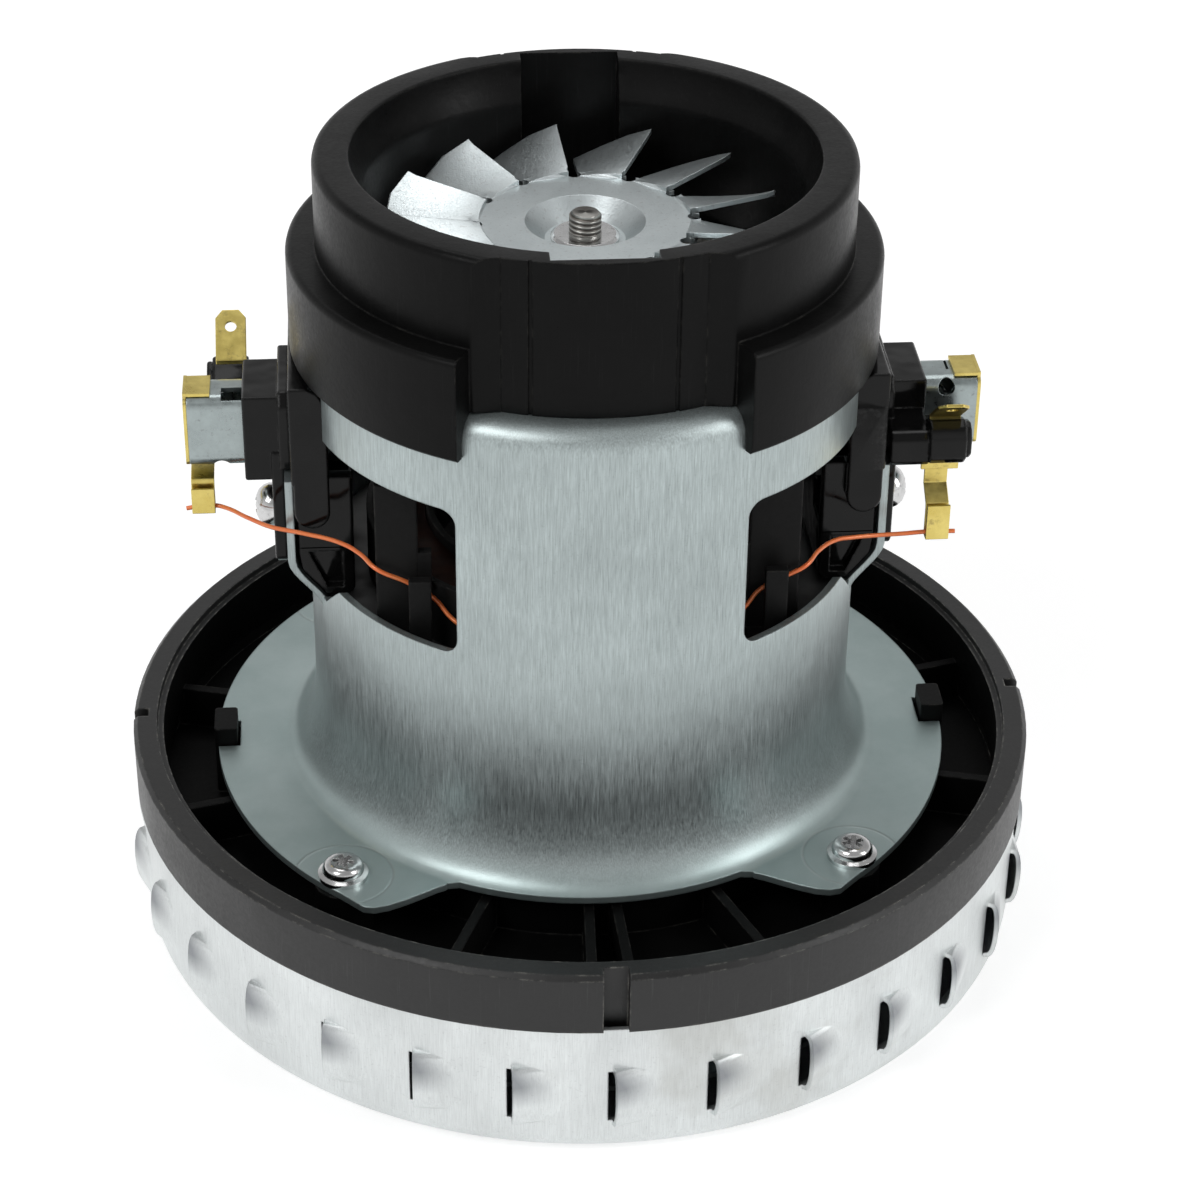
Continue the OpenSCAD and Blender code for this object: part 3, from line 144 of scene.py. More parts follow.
def add_node(tree, kind, inputs=None, **settings):
    """A new shader node with its settings and inputs."""
    node = tree.nodes.new("ShaderNode" + kind)
    for key, value in settings.items():
        setattr(node, key, value)
    set_inputs(tree, node, inputs or {})
    return node


class Finish:
    """A material, with short calls that add and join its shader nodes."""

    def __init__(self, name, edge, metallic=0.0):
        self.material = bpy.data.materials.new(name)
        self.tree = new_tree(self.material)
        self.shader = self.add("BsdfPrincipled", {"Metallic": metallic})
        self.add("OutputMaterial", {"Surface": self.shader.outputs[0]})
        self.place = self.add("TexCoord").outputs["Object"]
        # Small round edges, for the light that real edges catch
        self.round = self.add("Bevel", {"Radius": edge * MM}, samples=4).outputs[0]
        self.height = None

    def add(self, kind, inputs=None, **settings):
        """A node of this material."""
        return add_node(self.tree, kind, inputs, **settings)

    def math(self, operation, a, b=0.0):
        """The result of one sum, product or other operation."""
        return self.add("Math", {0: a, 1: b}, operation=operation).outputs[0]

    def stretched(self, x, y, z):
        """The object's own coordinates, stretched along each axis."""
        return self.add("VectorMath", {0: self.place, 1: (x, y, z)},
                        operation="MULTIPLY").outputs[0]

    def noise(self, scale, detail=3.0, rough=0.55, place=None):
        """Noise from 0 to 1 with about `scale` features in a metre."""
        return self.add("TexNoise", {
            "Vector": place or self.place, "Scale": scale, "Detail": detail,
            "Roughness": rough}).outputs["Fac"]

    def span(self, value, low, high, to_low=0.0, to_high=1.0):
        """The value's range low..high, stretched to to_low..to_high."""
        return self.add("MapRange", {
            "Value": value, "From Min": low, "From Max": high,
            "To Min": to_low, "To Max": to_high}).outputs["Result"]

    def blend(self, share, a, b):
        """Colour a turned to colour b by the share."""
        return self.add("Mix", {0: share, 6: a, 7: b}, data_type="RGBA").outputs[2]

    def edges(self, low, high):
        """1 on the object's edges and 0 on its faces, turning from low to high."""
        normal = self.add("NewGeometry").outputs["Normal"]
        same = self.add("VectorMath", {0: self.round, 1: normal},
                        operation="DOT_PRODUCT").outputs["Value"]
        return self.span(self.math("SUBTRACT", 1.0, same), low, high)

    def bump(self, height, depth_mm):
        """Raises the surface by up to depth_mm where height is 1."""
        self.height = self.add("Bump", {
            "Height": height, "Distance": depth_mm * MM, "Strength": 1.0,
            "Normal": self.height or self.round}).outputs[0]

    def done(self, colour, roughness):
        """The material, with its colour, roughness and raised surface."""
        set_inputs(self.tree, self.shader, {
            "Base Color": colour, "Roughness": roughness, "Normal": self.height or self.round})
        return self.material


def axis_distance(f, x, y):
    """Distance in the XY plane from the upright line through x, y."""
    parts = f.add("SeparateXYZ", {0: f.place})
    dx = f.math("SUBTRACT", parts.outputs[0], x)
    dy = f.math("SUBTRACT", parts.outputs[1], y)
    return f.math("SQRT", f.math("ADD", f.math("MULTIPLY", dx, dx), f.math("MULTIPLY", dy, dy)))


def galvanised(name, level, grain=1.0, smudge=0.0, red=0.88):
    """Zinc-coated sheet with fine upright grain, soft mottling and small specks."""
    f = Finish(name, metallic=0.82, edge=0.35)
    fine = f.noise(1.0, 2.0, 0.6, f.stretched(5600, 5600, 300))
    broad = f.noise(1.0, 3.0, 0.6, f.stretched(1900, 1900, 75))
    cloud = f.noise(60, 4.0, 0.6)
    specks = f.noise(2600, 1.0, 0.5)
    streak = f.math("ADD", f.math("MULTIPLY", fine, 0.72), f.math("MULTIPLY", broad, 0.28))
    light = f.span(streak, 0.3, 0.7, level * (1 - 0.27 * grain), level * (1 + 0.22 * grain))
    light = f.math("MULTIPLY", light, f.span(cloud, 0.3, 0.7, 0.9, 1.08))
    light = f.math("MULTIPLY", light, f.span(specks, 0.62, 0.75, 1.0, 0.9))
    warm = f.add("CombineColor", {0: f.math("MULTIPLY", light, red), 1: light,
                                  2: light}).outputs[0]
    if smudge:
        spots = f.span(f.noise(38, 4.0, 0.65), 0.56, 0.7, 0.0, smudge)
        warm = f.blend(spots, warm, (0.34, 0.33, 0.29, 1))
    rough = f.span(streak, 0.3, 0.7, 0.30, 0.46)
    f.bump(fine, 0.02 * grain)
    f.bump(cloud, 0.12)
    return f, warm, rough


def frame_finish():
    """The motor frame: drawn sheet, with a smoother, greener flange, partly lightened as a painted sheen,
    and its stamped marks, whose rings are painted darker as shade.
    """
    f, warm, rough = galvanised("frame_sheet", 0.49)
    parts = f.add("SeparateXYZ", {0: f.place})
    low = f.span(parts.outputs[2], FLANGE_TOP + 0.3 * MM, FLANGE_TOP + 4 * MM, 1.0, 0.0)
    patina = f.noise(45, 5.0, 0.65)
    # The flange's own greener tint, lightened as a painted sheen for the light its upturned face reflects,
    # and mottled at random
    flange = f.blend(f.span(patina, 0.35, 0.7), (0.345, 0.425, 0.42, 1), (0.445, 0.525, 0.52, 1))
    colour = f.blend(low, warm, flange)
    # A faint pressed ring round each screw, pressed in by a bump and painted darker as shade in its groove
    for angle in SCREW_ANGLES:
        turn = math.radians(angle)
        away = axis_distance(f, SCREW_CIRCLE * math.cos(turn), SCREW_CIRCLE * math.sin(turn))
        ring = f.math("ABSOLUTE", f.math("SUBTRACT", away, SCREW_MARK_R))
        mark = f.math("MULTIPLY", f.span(ring, 0, 0.35 * MM, 1.0, 0.0), low)
        f.bump(mark, -0.05)
        colour = f.blend(f.math("MULTIPLY", mark, 0.35), colour, grey(0.3))
    return f.done(colour, rough)


def shell_finish():
    """The louvred shell, whose pressed louvres carry a painted reflection of the black ring above: their
    upper halves are painted darker.
    """
    f, warm, rough = galvanised("shell_sheet", 0.77, grain=0.4, smudge=0.3, red=0.96)
    height = f.add("SeparateXYZ", {0: f.place}).outputs[2]
    raised = f.span(axis_distance(f, 0, 0), SHELL_R + 0.25 * MM, SHELL_R + 1.5 * MM)
    upper = f.span(height, LOUVRE_MID - 1.5 * MM, LOUVRE_MID + 2.5 * MM)
    # Painted reflection: the raised louvres' upper halves are painted darker, standing in for the black
    # ring above that they would reflect
    wear_and_painted_reflection = f.math("MULTIPLY", f.math("MULTIPLY", raised, upper), 0.8)
    return f.done(f.blend(wear_and_painted_reflection, warm, (0.20, 0.21, 0.23, 1)), rough)


def black_plastic(name, level, rough, scuff, streaks=0.0, specular=0.5):
    """Near-black moulded resin with pale rubbed edges and fine dust."""
    f = Finish(name, edge=0.45)
    grain = f.noise(1500, 3.0, 0.6)
    cloud = f.noise(70, 4.0, 0.65)
    wear_and_painted_reflection = f.math("MULTIPLY", f.edges(0.01, 0.2), f.span(f.noise(420, 5.0, 0.7), 0.48, 0.62))
    scratches = f.span(f.noise(1.0, 3.0, 0.7, f.stretched(2600, 2600, 90)), 0.6, 0.78)
    colour = f.blend(f.span(cloud, 0.35, 0.7), grey(level), grey(level * 1.7))
    colour = f.blend(f.math("MULTIPLY", wear_and_painted_reflection, scuff), colour, (0.36, 0.35, 0.31, 1))
    colour = f.blend(f.math("MULTIPLY", scratches, streaks), colour, grey(0.16))
    glow = f.span(f.math("ADD", f.math("MULTIPLY", grain, 0.5), f.math("MULTIPLY", cloud, 0.5)),
                  0.35, 0.65, rough - 0.07, rough + 0.09)
    f.bump(grain, 0.02)
    f.bump(scratches, 0.02 * streaks)
    f.bump(f.noise(110, 2.0), 0.1)
    f.shader.inputs["Specular IOR Level"].default_value = specular
    return f.done(colour, glow)


def glossy_plastic():
    """Black moulded resin with a smooth, slightly wavy skin and a few dull patches."""
    f = Finish("holder_resin", edge=0.45)
    cloud = f.noise(140, 3.0, 0.6)
    dull = f.span(f.noise(320, 4.0, 0.65), 0.5, 0.72)
    wear_and_painted_reflection = f.math("MULTIPLY", f.edges(0.02, 0.2), f.span(f.noise(700, 4.0, 0.7), 0.5, 0.64))
    colour = f.blend(f.span(cloud, 0.35, 0.7), grey(0.003), grey(0.007))
    colour = f.blend(f.math("MULTIPLY", wear_and_painted_reflection, 0.5), colour, grey(0.2))
    f.bump(f.noise(95, 2.0), 0.4)
    f.bump(f.noise(480, 2.0), 0.012)
    f.shader.inputs["Specular IOR Level"].default_value = 0.2
    return f.done(colour, f.math("ADD", 0.1, f.math("MULTIPLY", dull, 0.14)))


def brass_finish():
    """Bare brass strip with dull patches and brown spots."""
    f = Finish("brass_strip", metallic=1.0, edge=0.12)
    cloud = f.noise(190, 5.0, 0.7)
    spots = f.span(f.noise(520, 4.0, 0.7), 0.58, 0.72)
    colour = f.blend(f.span(cloud, 0.35, 0.7), (0.60, 0.47, 0.13, 1), (0.80, 0.66, 0.22, 1))
    colour = f.blend(f.math("MULTIPLY", spots, 0.6), colour, (0.26, 0.19, 0.08, 1))
    f.bump(f.noise(900, 3.0), 0.03)
    return f.done(colour, f.span(cloud, 0.3, 0.7, 0.24, 0.42))


def bright_zinc(name, level, rough, red=1.0):
    """Bright plated steel with faint stains."""
    f = Finish(name, metallic=1.0, edge=0.12)
    cloud = f.noise(420, 4.0, 0.65)
    stains = f.span(f.noise(1300, 3.0, 0.6), 0.6, 0.72)
    colour = f.blend(f.span(cloud, 0.35, 0.7), (level * 0.88 * red, level * 0.88, level * 0.88, 1),
                     (level * 1.1 * red, level * 1.1, level * 1.1, 1))
    colour = f.blend(f.math("MULTIPLY", stains, 0.5), colour, grey(level * 0.4))
    f.bump(cloud, 0.03)
    return f.done(colour, f.span(cloud, 0.3, 0.7, rough * 0.8, rough * 1.3))


def shaft_finish():
    """Bright steel whose tip above the fan shows the thread's ridges, with painted shade in the valleys
    between them.
    """
    f = Finish("shaft_steel", metallic=1.0, edge=0.1)
    parts = f.add("SeparateXYZ", {0: f.place})
    tip = f.span(parts.outputs[2], THREAD_FROM, THREAD_FROM + 0.2 * MM)
    turn = f.math("ADD", f.math("MULTIPLY", parts.outputs[2], 2 * math.pi / THREAD_PITCH),
                  f.add("Math", {0: parts.outputs[1], 1: parts.outputs[0]},
                        operation="ARCTAN2").outputs[0])
    ridge = f.span(f.math("SINE", turn), -1, 1)
    colour = f.blend(f.noise(400, 3.0), (0.46, 0.45, 0.42, 1), (0.62, 0.61, 0.58, 1))
    # Painted shade: the thread's valleys are painted dark
    thread_valley_shade = f.math("MULTIPLY", f.math("SUBTRACT", 1.0, ridge), tip)
    colour = f.blend(thread_valley_shade, colour, (0.10, 0.09, 0.08, 1))
    f.bump(f.math("MULTIPLY", ridge, tip), 0.35)
    return f.done(colour, 0.3)


def fan_finish():
    """Bright sheet with a fine sanded grain."""
    f = Finish("fan_sheet", metallic=1.0, edge=0.15)
    grain = f.noise(3400, 2.0, 0.6)
    cloud = f.noise(120, 4.0, 0.6)
    specks = f.span(f.noise(1500, 2.0, 0.6), 0.6, 0.7)
    colour = f.blend(f.span(cloud, 0.3, 0.7), (0.55, 0.60, 0.61, 1), (0.66, 0.71, 0.72, 1))
    colour = f.blend(f.math("MULTIPLY", specks, 0.35), colour, grey(0.36))
    f.bump(grain, 0.03)
    return f.done(colour, f.span(grain, 0.3, 0.7, 0.30, 0.5))


def copper_finish(name, colour_a, colour_b, wound=False, metallic=0.85):
    """Enamelled copper. A wound solid shows its strands as fine ridges, with painted shade in the grooves
    between them.
    """
    f = Finish(name, metallic=metallic, edge=0.1)
    cloud = f.noise(260, 4.0, 0.6)
    colour = f.blend(f.span(cloud, 0.3, 0.7), colour_a, colour_b)
    if wound:
        parts = f.add("SeparateXYZ", {0: f.place})
        ridge = f.math("ABSOLUTE", f.math("SINE", f.math("MULTIPLY", parts.outputs[2], STRAND_WAVE)))
        f.bump(ridge, 0.2)
        # Painted shade in the grooves between the strands
        colour = f.blend(f.span(ridge, 0.0, 0.35, 0.6, 0.0), colour, (0.08, 0.03, 0.015, 1))
    f.bump(f.noise(700, 2.0), 0.02)
    f.shader.inputs["Coat Weight"].default_value = 0.25
    return f.done(colour, 0.32)


def core_finish(name, level):
    """Stacked sheets of electrical steel, whose edges run round the core."""
    f = Finish(name, metallic=0.7, edge=0.1)
    parts = f.add("SeparateXYZ", {0: f.place})
    sheets = f.math("ABSOLUTE", f.math("SINE", f.math("MULTIPLY", parts.outputs[2], SHEET_WAVE)))
    colour = f.blend(f.span(sheets, 0.0, 0.4), grey(level * 0.4), grey(level))
    f.bump(sheets, 0.05)
    return f.done(colour, f.span(f.noise(300, 3.0), 0.3, 0.7, 0.4, 0.6))


def carbon_finish():
    """Pressed carbon with a fine grain."""
    f = Finish("carbon_block", edge=0.15)
    grain = f.noise(2500, 3.0, 0.7)
    f.bump(grain, 0.03)
    return f.done(f.blend(grain, grey(0.02), grey(0.07)), 0.55)


# The finish of each material slot, and those of the nodes that differ from their slot's
FINISHES = {
    "shell_steel": shell_finish(),
    "frame_steel": frame_finish(),
    "black_plastic": black_plastic("ring_resin", 0.004, 0.42, scuff=0.8, streaks=0.12),
    # The bobbins and guard plates, whose slot is grey plastic, are coloured near black as painted shade for
    # the dark inside of the frame
    "grey_plastic": black_plastic("bobbin_resin", 0.008, 0.55, scuff=0.15, specular=0.14),
    "zinc": bright_zinc("bright_zinc", 0.62, 0.16),
    "brass": brass_finish(),
    # The windings' copper is painted near black, as painted shade for the dark inside of the frame, keeping
    # a copper tint
    "copper": copper_finish("wound_copper", (0.028, 0.009, 0.006, 1), (0.065, 0.02, 0.011, 1), True),
    "core_steel": core_finish("core_sheets", 0.22),
    "aluminium": fan_finish(),
    "carbon": carbon_finish(),
}
NODE_FINISHES = {
    "cooling_collar": black_plastic("collar_resin", 0.003, 0.34, scuff=0.1, streaks=0.04, specular=0.1),
    "brush_holder_left": glossy_plastic(),
    "brush_tube_left": bright_zinc("tube_zinc", 0.40, 0.3, red=0.88),
    "rotor_shaft": shaft_finish(),
    "commutator": copper_finish("bar_copper", (0.62, 0.27, 0.14, 1), (0.78, 0.40, 0.24, 1)),
}
NODE_FINISHES["brush_holder_right"] = NODE_FINISHES["brush_holder_left"]
NODE_FINISHES["brush_tube_right"] = NODE_FINISHES["brush_tube_left"]
LEAD_FINISH = copper_finish("lead_copper", (1.0, 0.19, 0.045, 1), (1.0, 0.29, 0.09, 1), metallic=0.15)


def smooth(mesh):
    """Rounds the shading over faces that meet at less than SMOOTH_ANGLE, wherever they touch."""
    # Corners less than about a thousandth of a millimetre apart share one spot
    spots = [tuple(round(value, 6) for value in vertex.co) for vertex in mesh.vertices]
    shared = {}
    for face in mesh.polygons:
        ring = [mesh.vertices[v].co for v in face.vertices]
        for i, v in enumerate(face.vertices):
            ahead = ring[(i + 1) % len(ring)] - ring[i]
            back = ring[i - 1] - ring[i]
            weight = ahead.angle(back, 0.0) * face.area
            shared.setdefault(spots[v], []).append((face.normal.copy(), weight))
    least = math.cos(SMOOTH_ANGLE)
    normals = []
    for face in mesh.polygons:
        for v in face.vertices:
            total = Vector((0, 0, 0))
            for normal, weight in shared[spots[v]]:
                if normal.dot(face.normal) > least:
                    total += normal * weight
            normals.append((total if total.length > 0 else face.normal).normalized())
    mesh.shade_smooth()
    mesh.normals_split_custom_set(normals)


def darken_trough(mesh):
    """Gives the faces of the ring's trough, below its rim, a duller and darker copy of the ring's resin:
    painted shade in the recess.
    """
    mesh.materials.append(black_plastic("trough_resin_painted_shade", 0.002, 0.5, scuff=0.12, specular=0.1))
    rim_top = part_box("base_ring")[1][2]
    for face in mesh.polygons:
        away = math.hypot(face.center.x, face.center.y)
        if away < RIM_IN_R and face.center.z < rim_top - 0.2 * MM:
            face.material_index = 1


def finish_frame_nodes(frame):
    """Gives each CAD node its finish, and smooth shading across its curved faces."""
    slots = {part["node"]: part["material_slot"] for part in frame["record"]["subparts"]}
    for name, node in frame["nodes"].items():
        finish = NODE_FINISHES.get(name, FINISHES[slots[name]])
        node.data.materials.clear()
        node.data.materials.append(finish)
        smooth(node.data)
    darken_trough(frame["nodes"]["base_ring"].data)


def placed(name, data):
    """A new object in the scene that shows a mesh, curve, lamp or camera."""
    made = bpy.data.objects.new(name, data)
    bpy.context.scene.collection.objects.link(made)
    return made


def lead(name, route, side, node):
    """A copper lead as one smooth round wire along its route."""
    curve = bpy.data.curves.new(name, "CURVE")
    curve.dimensions = "3D"
    curve.bevel_depth = LEAD_R
    curve.bevel_resolution = 4
    curve.resolution_u = 10
    curve.use_fill_caps = True
    spline = curve.splines.new("BEZIER")
    spline.bezier_points.add(len(route) - 1)
    for point, (x, y, z) in zip(spline.bezier_points, route):
        point.co = Vector((side * x, side * y, z)) * MM
        point.handle_left_type = "AUTO"
        point.handle_right_type = "AUTO"
    curve.materials.append(LEAD_FINISH)
    wire = placed(name, curve)
    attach(wire, "housing")
    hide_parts(node)


def prism(axis, low, high, outline):
    """A closed prism along x, y or z, in mm. Its outline lies in the other two axes."""
    order = {"x": (2, 0, 1), "y": (0, 2, 1), "z": (0, 1, 2)}[axis]
    points = [Vector([(u, v, end)[i] for i in order]) * MM
              for end in (low, high) for u, v in outline]
    count = len(outline)
    faces = [tuple(range(count)), tuple(range(count, 2 * count))]
    faces += [(i, (i + 1) % count, count + (i + 1) % count, count + i) for i in range(count)]
    mesh = bpy.data.meshes.new("prism")
    mesh.from_pydata(points, [], faces)
    return facing_out(mesh)


def facing_out(mesh):
    """The same mesh, with every face turned outwards."""
    build = bmesh.new()
    build.from_mesh(mesh)
    bmesh.ops.recalc_face_normals(build, faces=build.faces)
    build.to_mesh(mesh)
    build.free()
    return mesh


def box(low, high):
    """A block between two corners, in mm."""
    (x0, y0, z0), (x1, y1, z1) = low, high
    return prism("z", z0, z1, [(x0, y0), (x1, y0), (x1, y1), (x0, y1)])


def round_outline(half_u, half_v, corner, at):
    """A rectangle with round corners, or a circle where all three sizes are the same, in mm."""
    steps = 6
    points = []
    for quarter, (u, v) in enumerate([(1, 1), (-1, 1), (-1, -1), (1, -1)]):
        for i in range(steps + 1):
            turn = math.radians(90 * (quarter + i / steps))
            points.append((at[0] + u * (half_u - corner) + corner * math.cos(turn),
                           at[1] + v * (half_v - corner) + corner * math.sin(turn)))
    if half_u == corner:
        points = [p for i, p in enumerate(points) if i % (steps + 1) != steps]
    return points


def circle(radius, at):
    """A circle's outline, in mm."""
    return round_outline(radius, radius, radius, at)


def pair(low, high):
    """The same stretch of y on both sides of the middle."""
    return [(-high, -low), (low, high)]


def ribbon(x_range, path):
    """A bent strip of the terminals' thickness, along a path of y, z points."""
    sides = ([], [])
    for i, here in enumerate(path):
        here = Vector(here)
        back = (here - Vector(path[i - 1])).normalized() if i else None
        ahead = (Vector(path[i + 1]) - here).normalized() if i + 1 < len(path) else back
        back = back or ahead
        mid = (back + ahead).normalized()
        reach = STRIP_T / 2 / max(0.6, mid.dot(ahead))
        for outline, way in zip(sides, (1, -1)):
            outline.append(here + Vector((-mid.y, mid.x)) * reach * way)
    return prism("x", *x_range, sides[0] + sides[1][::-1])


def solid(name, adds, cuts, side, bevel):
    """One piece of joined and cut shapes with rounded edges, on one side of the motor."""
    shapes = [placed(name, mesh) for mesh in adds + cuts]
    if bevel:
        for shape in shapes[:len(adds)]:
            step = shape.modifiers.new("edges", "BEVEL")
            step.width = bevel * MM
            step.segments = 3
            step.limit_method = "ANGLE"
            step.angle_limit = math.radians(25)
    for i, other in enumerate(shapes[1:], 1):
        step = shapes[0].modifiers.new("step", "BOOLEAN")
        step.object = other
        step.operation = "UNION" if i < len(adds) else "DIFFERENCE"
        step.solver = "EXACT"
    bpy.context.view_layer.update()
    mesh = bpy.data.meshes.new_from_object(
        shapes[0].evaluated_get(bpy.context.evaluated_depsgraph_get()))
    for shape in shapes:
        bpy.data.objects.remove(shape)
    mesh.transform(Matrix.Diagonal((side, side, 1, 1)))
    return placed(name, mesh)


def dress(piece, finish, slot, *nodes):
    """Gives a piece its finish and smooth shading, and lets it ride in the CAD nodes' place."""
    piece.data.materials.clear()
    piece.data.materials.append(finish)
    smooth(piece.data)
    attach(piece, "housing")
    if nodes:
        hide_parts(*nodes)


def brush_holder(name, side, node):
    """The moulded holder: block, plate, leg, bars, hook and the terminal's domed boss."""
    dome = [(-6.2, 85.2), (-6.2, 89.2), (-9, 89.8), (-11.5, 91.6), (-13.5, 92.2), (-15.2, 91.4),
            (-16, 89.6), (-16, 86.6), (-14.8, 85.3)]
    dome_end = [(BOSS_AT[0] + (y - BOSS_AT[0]) * BOSS_END_SCALE,
                 BOSS_AT[1] + (z - BOSS_AT[1]) * BOSS_END_SCALE) for y, z in dome]
    block = prism("x", 46.6, 52.5, [(-6.5, 81), (6.5, 81), (6.5, 95.4), (-6.5, 95.4)])
    leg = prism("x", *LEG_X, [(-7, 67.2), (-6, 66.2), (6, 66.2), (7, 67.2), (7, 86), (-7, 86)])
    plate = prism("x", 45.2, 47.1, [
        (-9.5, 84.4), (9.5, 84.4), (9.5, 95), (7.8, 97), (-7.8, 97), (-9.5, 95)])
    body = prism("y", -14.84, 14.84, [
        (39.66, 84.4), (39.66, 97), (40, 98.8), (41, 100.2), (42.4, 101), (45.3, 101), (45.3, 84.4)])
    tie = box((36.2, -4.2, 71.6), (44.7, 4.2, 77.5))
    hook = prism("y", -12.2, 12.2, [
        (36.2, 64.5), (37.2, 63.5), *HOOK_FACE, (44.7, 71), (44.7, 72.6), (36.2, 72.6)])
    boss_root = prism("x", 46, 52.2, [
        (-6, 84.6), (-6, 90.6), (-13.4, 90.2), (-14.6, 89.2), (-14.8, 85.6), (-13.8, 84.6)])
    boss = prism("x", 51.8, 57.5, dome)
    boss_end = prism("x", 57.4, 58.4, dome_end)
    adds = [block, leg, plate, body, tie, hook, boss_root, boss, boss_end]
    round_end = [(BAR_MID[0] - BAR_R * math.cos(math.radians(turn)),
                  BAR_MID[1] - BAR_R * math.sin(math.radians(turn))) for turn in range(0, 181, 15)]
    bar = [(BAR_MID[0] - BAR_R, 95.5), *round_end, (BAR_MID[0] + BAR_R, 95.5)]
    cheek = [(36.2, 71.6), (44.7, 71.6), (44.7, 84.5), (36.2, 84.5)]
    for bar_y, cheek_y in zip(pair(12.7, 14.9), pair(9.8, 12.2)):
        adds.append(prism("y", *bar_y, bar))
        adds.append(prism("y", *cheek_y, cheek))
    cuts = [prism("x", 30, 62, round_outline(
        TUBE_W / 2 + TUBE_SEAT_GAP, TUBE_H / 2 + TUBE_SEAT_GAP, TUBE_CORNER + TUBE_SEAT_GAP, (0, BRUSH_Z)))]
    for window_y in pair(10.6, 12.4):
        cuts.append(prism("y", *window_y, [(38, 64.9), (40.4, 64.9), (43.2, 71.4), (38, 71.4)]))
    dress(solid(name, adds, cuts, side, RESIN_ROUND), NODE_FINISHES["brush_holder_left"],
          "black_plastic", node)


def terminal(name, side, node):
    """A brass strip: a wide part in the boss, the tilted blade, and the fold that grips the lead."""
    tilt = Matrix.Rotation(math.radians(90 + BLADE_TILT), 4, "X")
    place = Matrix.Translation(Vector((STRIP_X, STRIP_Y, BLADE_FOOT_Z)) * MM) @ tilt
    half = BLADE_W / 2
    thin = STRIP_T / 2
    # The wide part stands out by a little, so that none of its faces lies in the strip's
    thick = thin + 0.02
    blade = prism("z", -thin, thin, [
        (-half, -0.1), (half, -0.1), (half, BLADE_LEN - 1.4), (half - 1.1, BLADE_LEN),
        (1.1 - half, BLADE_LEN), (-half, BLADE_LEN - 1.4)])
    hole = prism("z", -2, 2, circle(BLADE_HOLE_R, (0, BLADE_LEN - 2.9)))
    for mesh in (blade, hole):
        mesh.transform(place)
    neck = box((STRIP_X - half, STRIP_Y - thin, 89), (STRIP_X + half, STRIP_Y + thin, BLADE_FOOT_Z + 0.1))
    wide = box((51.3, STRIP_Y - thick, 82.9), (57.1, STRIP_Y + thick, 90))
    adds = [blade, neck, wide]
    if side > 0:
        adds.append(ribbon(TAIL_X, [(-12.1, 83.6), (-12.1, 80.5), (-15, 78.4), (-15.15, 77.8),
                                    (-15.15, 73.15), (-16.55, 73.15), (-16.55, 78.9)]))
    else:
        low, high = TAIL_X
        adds.append(ribbon(TAIL_X, [(-12.1, 83.6), (-12.1, 81.2), (-10.5, 80), (-6.5, 79.8)]))
        adds.append(ribbon((low, high + TAIL_LEFT_OUT), [(-9.5, 79.92), (-6, 79.82)]))
        adds.append(ribbon((low + TAIL_LEFT_OUT, high + TAIL_LEFT_OUT), [
            (-9.5, 79.9), (-0.6, 79.6), (1.9, 78.9), (2.2, 78.2), (2.2, 74.1), (3.6, 74.1), (3.6, 78.2)]))
    dress(solid(name, adds, [hole], side, SHEET_ROUND), FINISHES["brass"], "brass", node)


def brush_tube(name, side, node):
    """The zinc tube that guides a brush. The right one's slot is a slit beside its flap."""
    inner, outer = sorted(abs(corner[0]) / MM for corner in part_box(node))
    half_w = TUBE_W / 2
    half_h = TUBE_H / 2
    top = BRUSH_Z + half_h
    tube = prism("x", inner, outer, round_outline(half_w, half_h, TUBE_CORNER, (0, BRUSH_Z)))
    bore = prism("x", inner - 1, outer + 1, round_outline(
        half_w - TUBE_WALL, half_h - TUBE_WALL, TUBE_CORNER - TUBE_WALL, (0, BRUSH_Z)))
    hole = prism("y", -half_w - 1, -half_w + 2, circle(TUBE_HOLE_R, TUBE_HOLE_AT))
    notch = prism("y", -half_w - 1, half_w + 1, circle(TUBE_NOTCH_R, (TUBE_HOLE_AT[0], BRUSH_Z - half_h)))
    if side > 0:
        slot = box((56.5, -0.6, top - 1.5), (56.9, 3.4, top + 1))
    else:
        slot = box((52.0, 0.2, top - 1.5), (55.7, 3.4, top + 1))
    dress(solid(name, [tube], [bore, hole, notch, slot], side, SHEET_ROUND),
          NODE_FINISHES["brush_tube_left"], "zinc", node)


def turned(profile):
    """A solid of revolution about the x axis at y 0, z 0, from a profile of x, r points in mm."""
    steps = 40
    points = []
    faces = []
    for x, r in profile:
        for i in range(steps):
            turn = 2 * math.pi * i / steps
            points.append(Vector((x, r * math.cos(turn), r * math.sin(turn))) * MM)
    for ring in range(len(profile) - 1):
        for i in range(steps):
            ahead = (i + 1) % steps
            faces.append((ring * steps + i, ring * steps + ahead,
                          (ring + 1) * steps + ahead, (ring + 1) * steps + i))
    faces.append(tuple(range(steps)))
    faces.append(tuple(range(len(points) - steps, len(points))))
    mesh = bpy.data.meshes.new("turned")
    mesh.from_pydata(points, [], faces)
    return facing_out(mesh)


def holder_screw(name, side, node):
    """A domed screw head with a star recess on the holder's leg."""
    foot = LEG_X[1]
    head = turned([
        (foot - 6, 1.8), (foot, 1.8), (foot + 0.01, 3.5), (foot + 0.7, 3.5), (foot + 1.6, 3.2),
        (foot + 2.4, 2.5), (foot + 2.9, 1.5), (foot + 3.0, 0.6)])
    star = []
    for turn in (0, 60, 120):
        bar = box((foot + 1.6, -1.7, -0.4), (foot + 4, 1.7, 0.4))
        bar.transform(Matrix.Rotation(math.radians(turn), 4, "X"))
        star.append(bar)
    for mesh in [head] + star:
        mesh.transform(Matrix.Translation((0, 0, SCREW_Z * MM)))
    dress(solid(name, [head], star, side, 0), FINISHES["zinc"], "zinc", node)


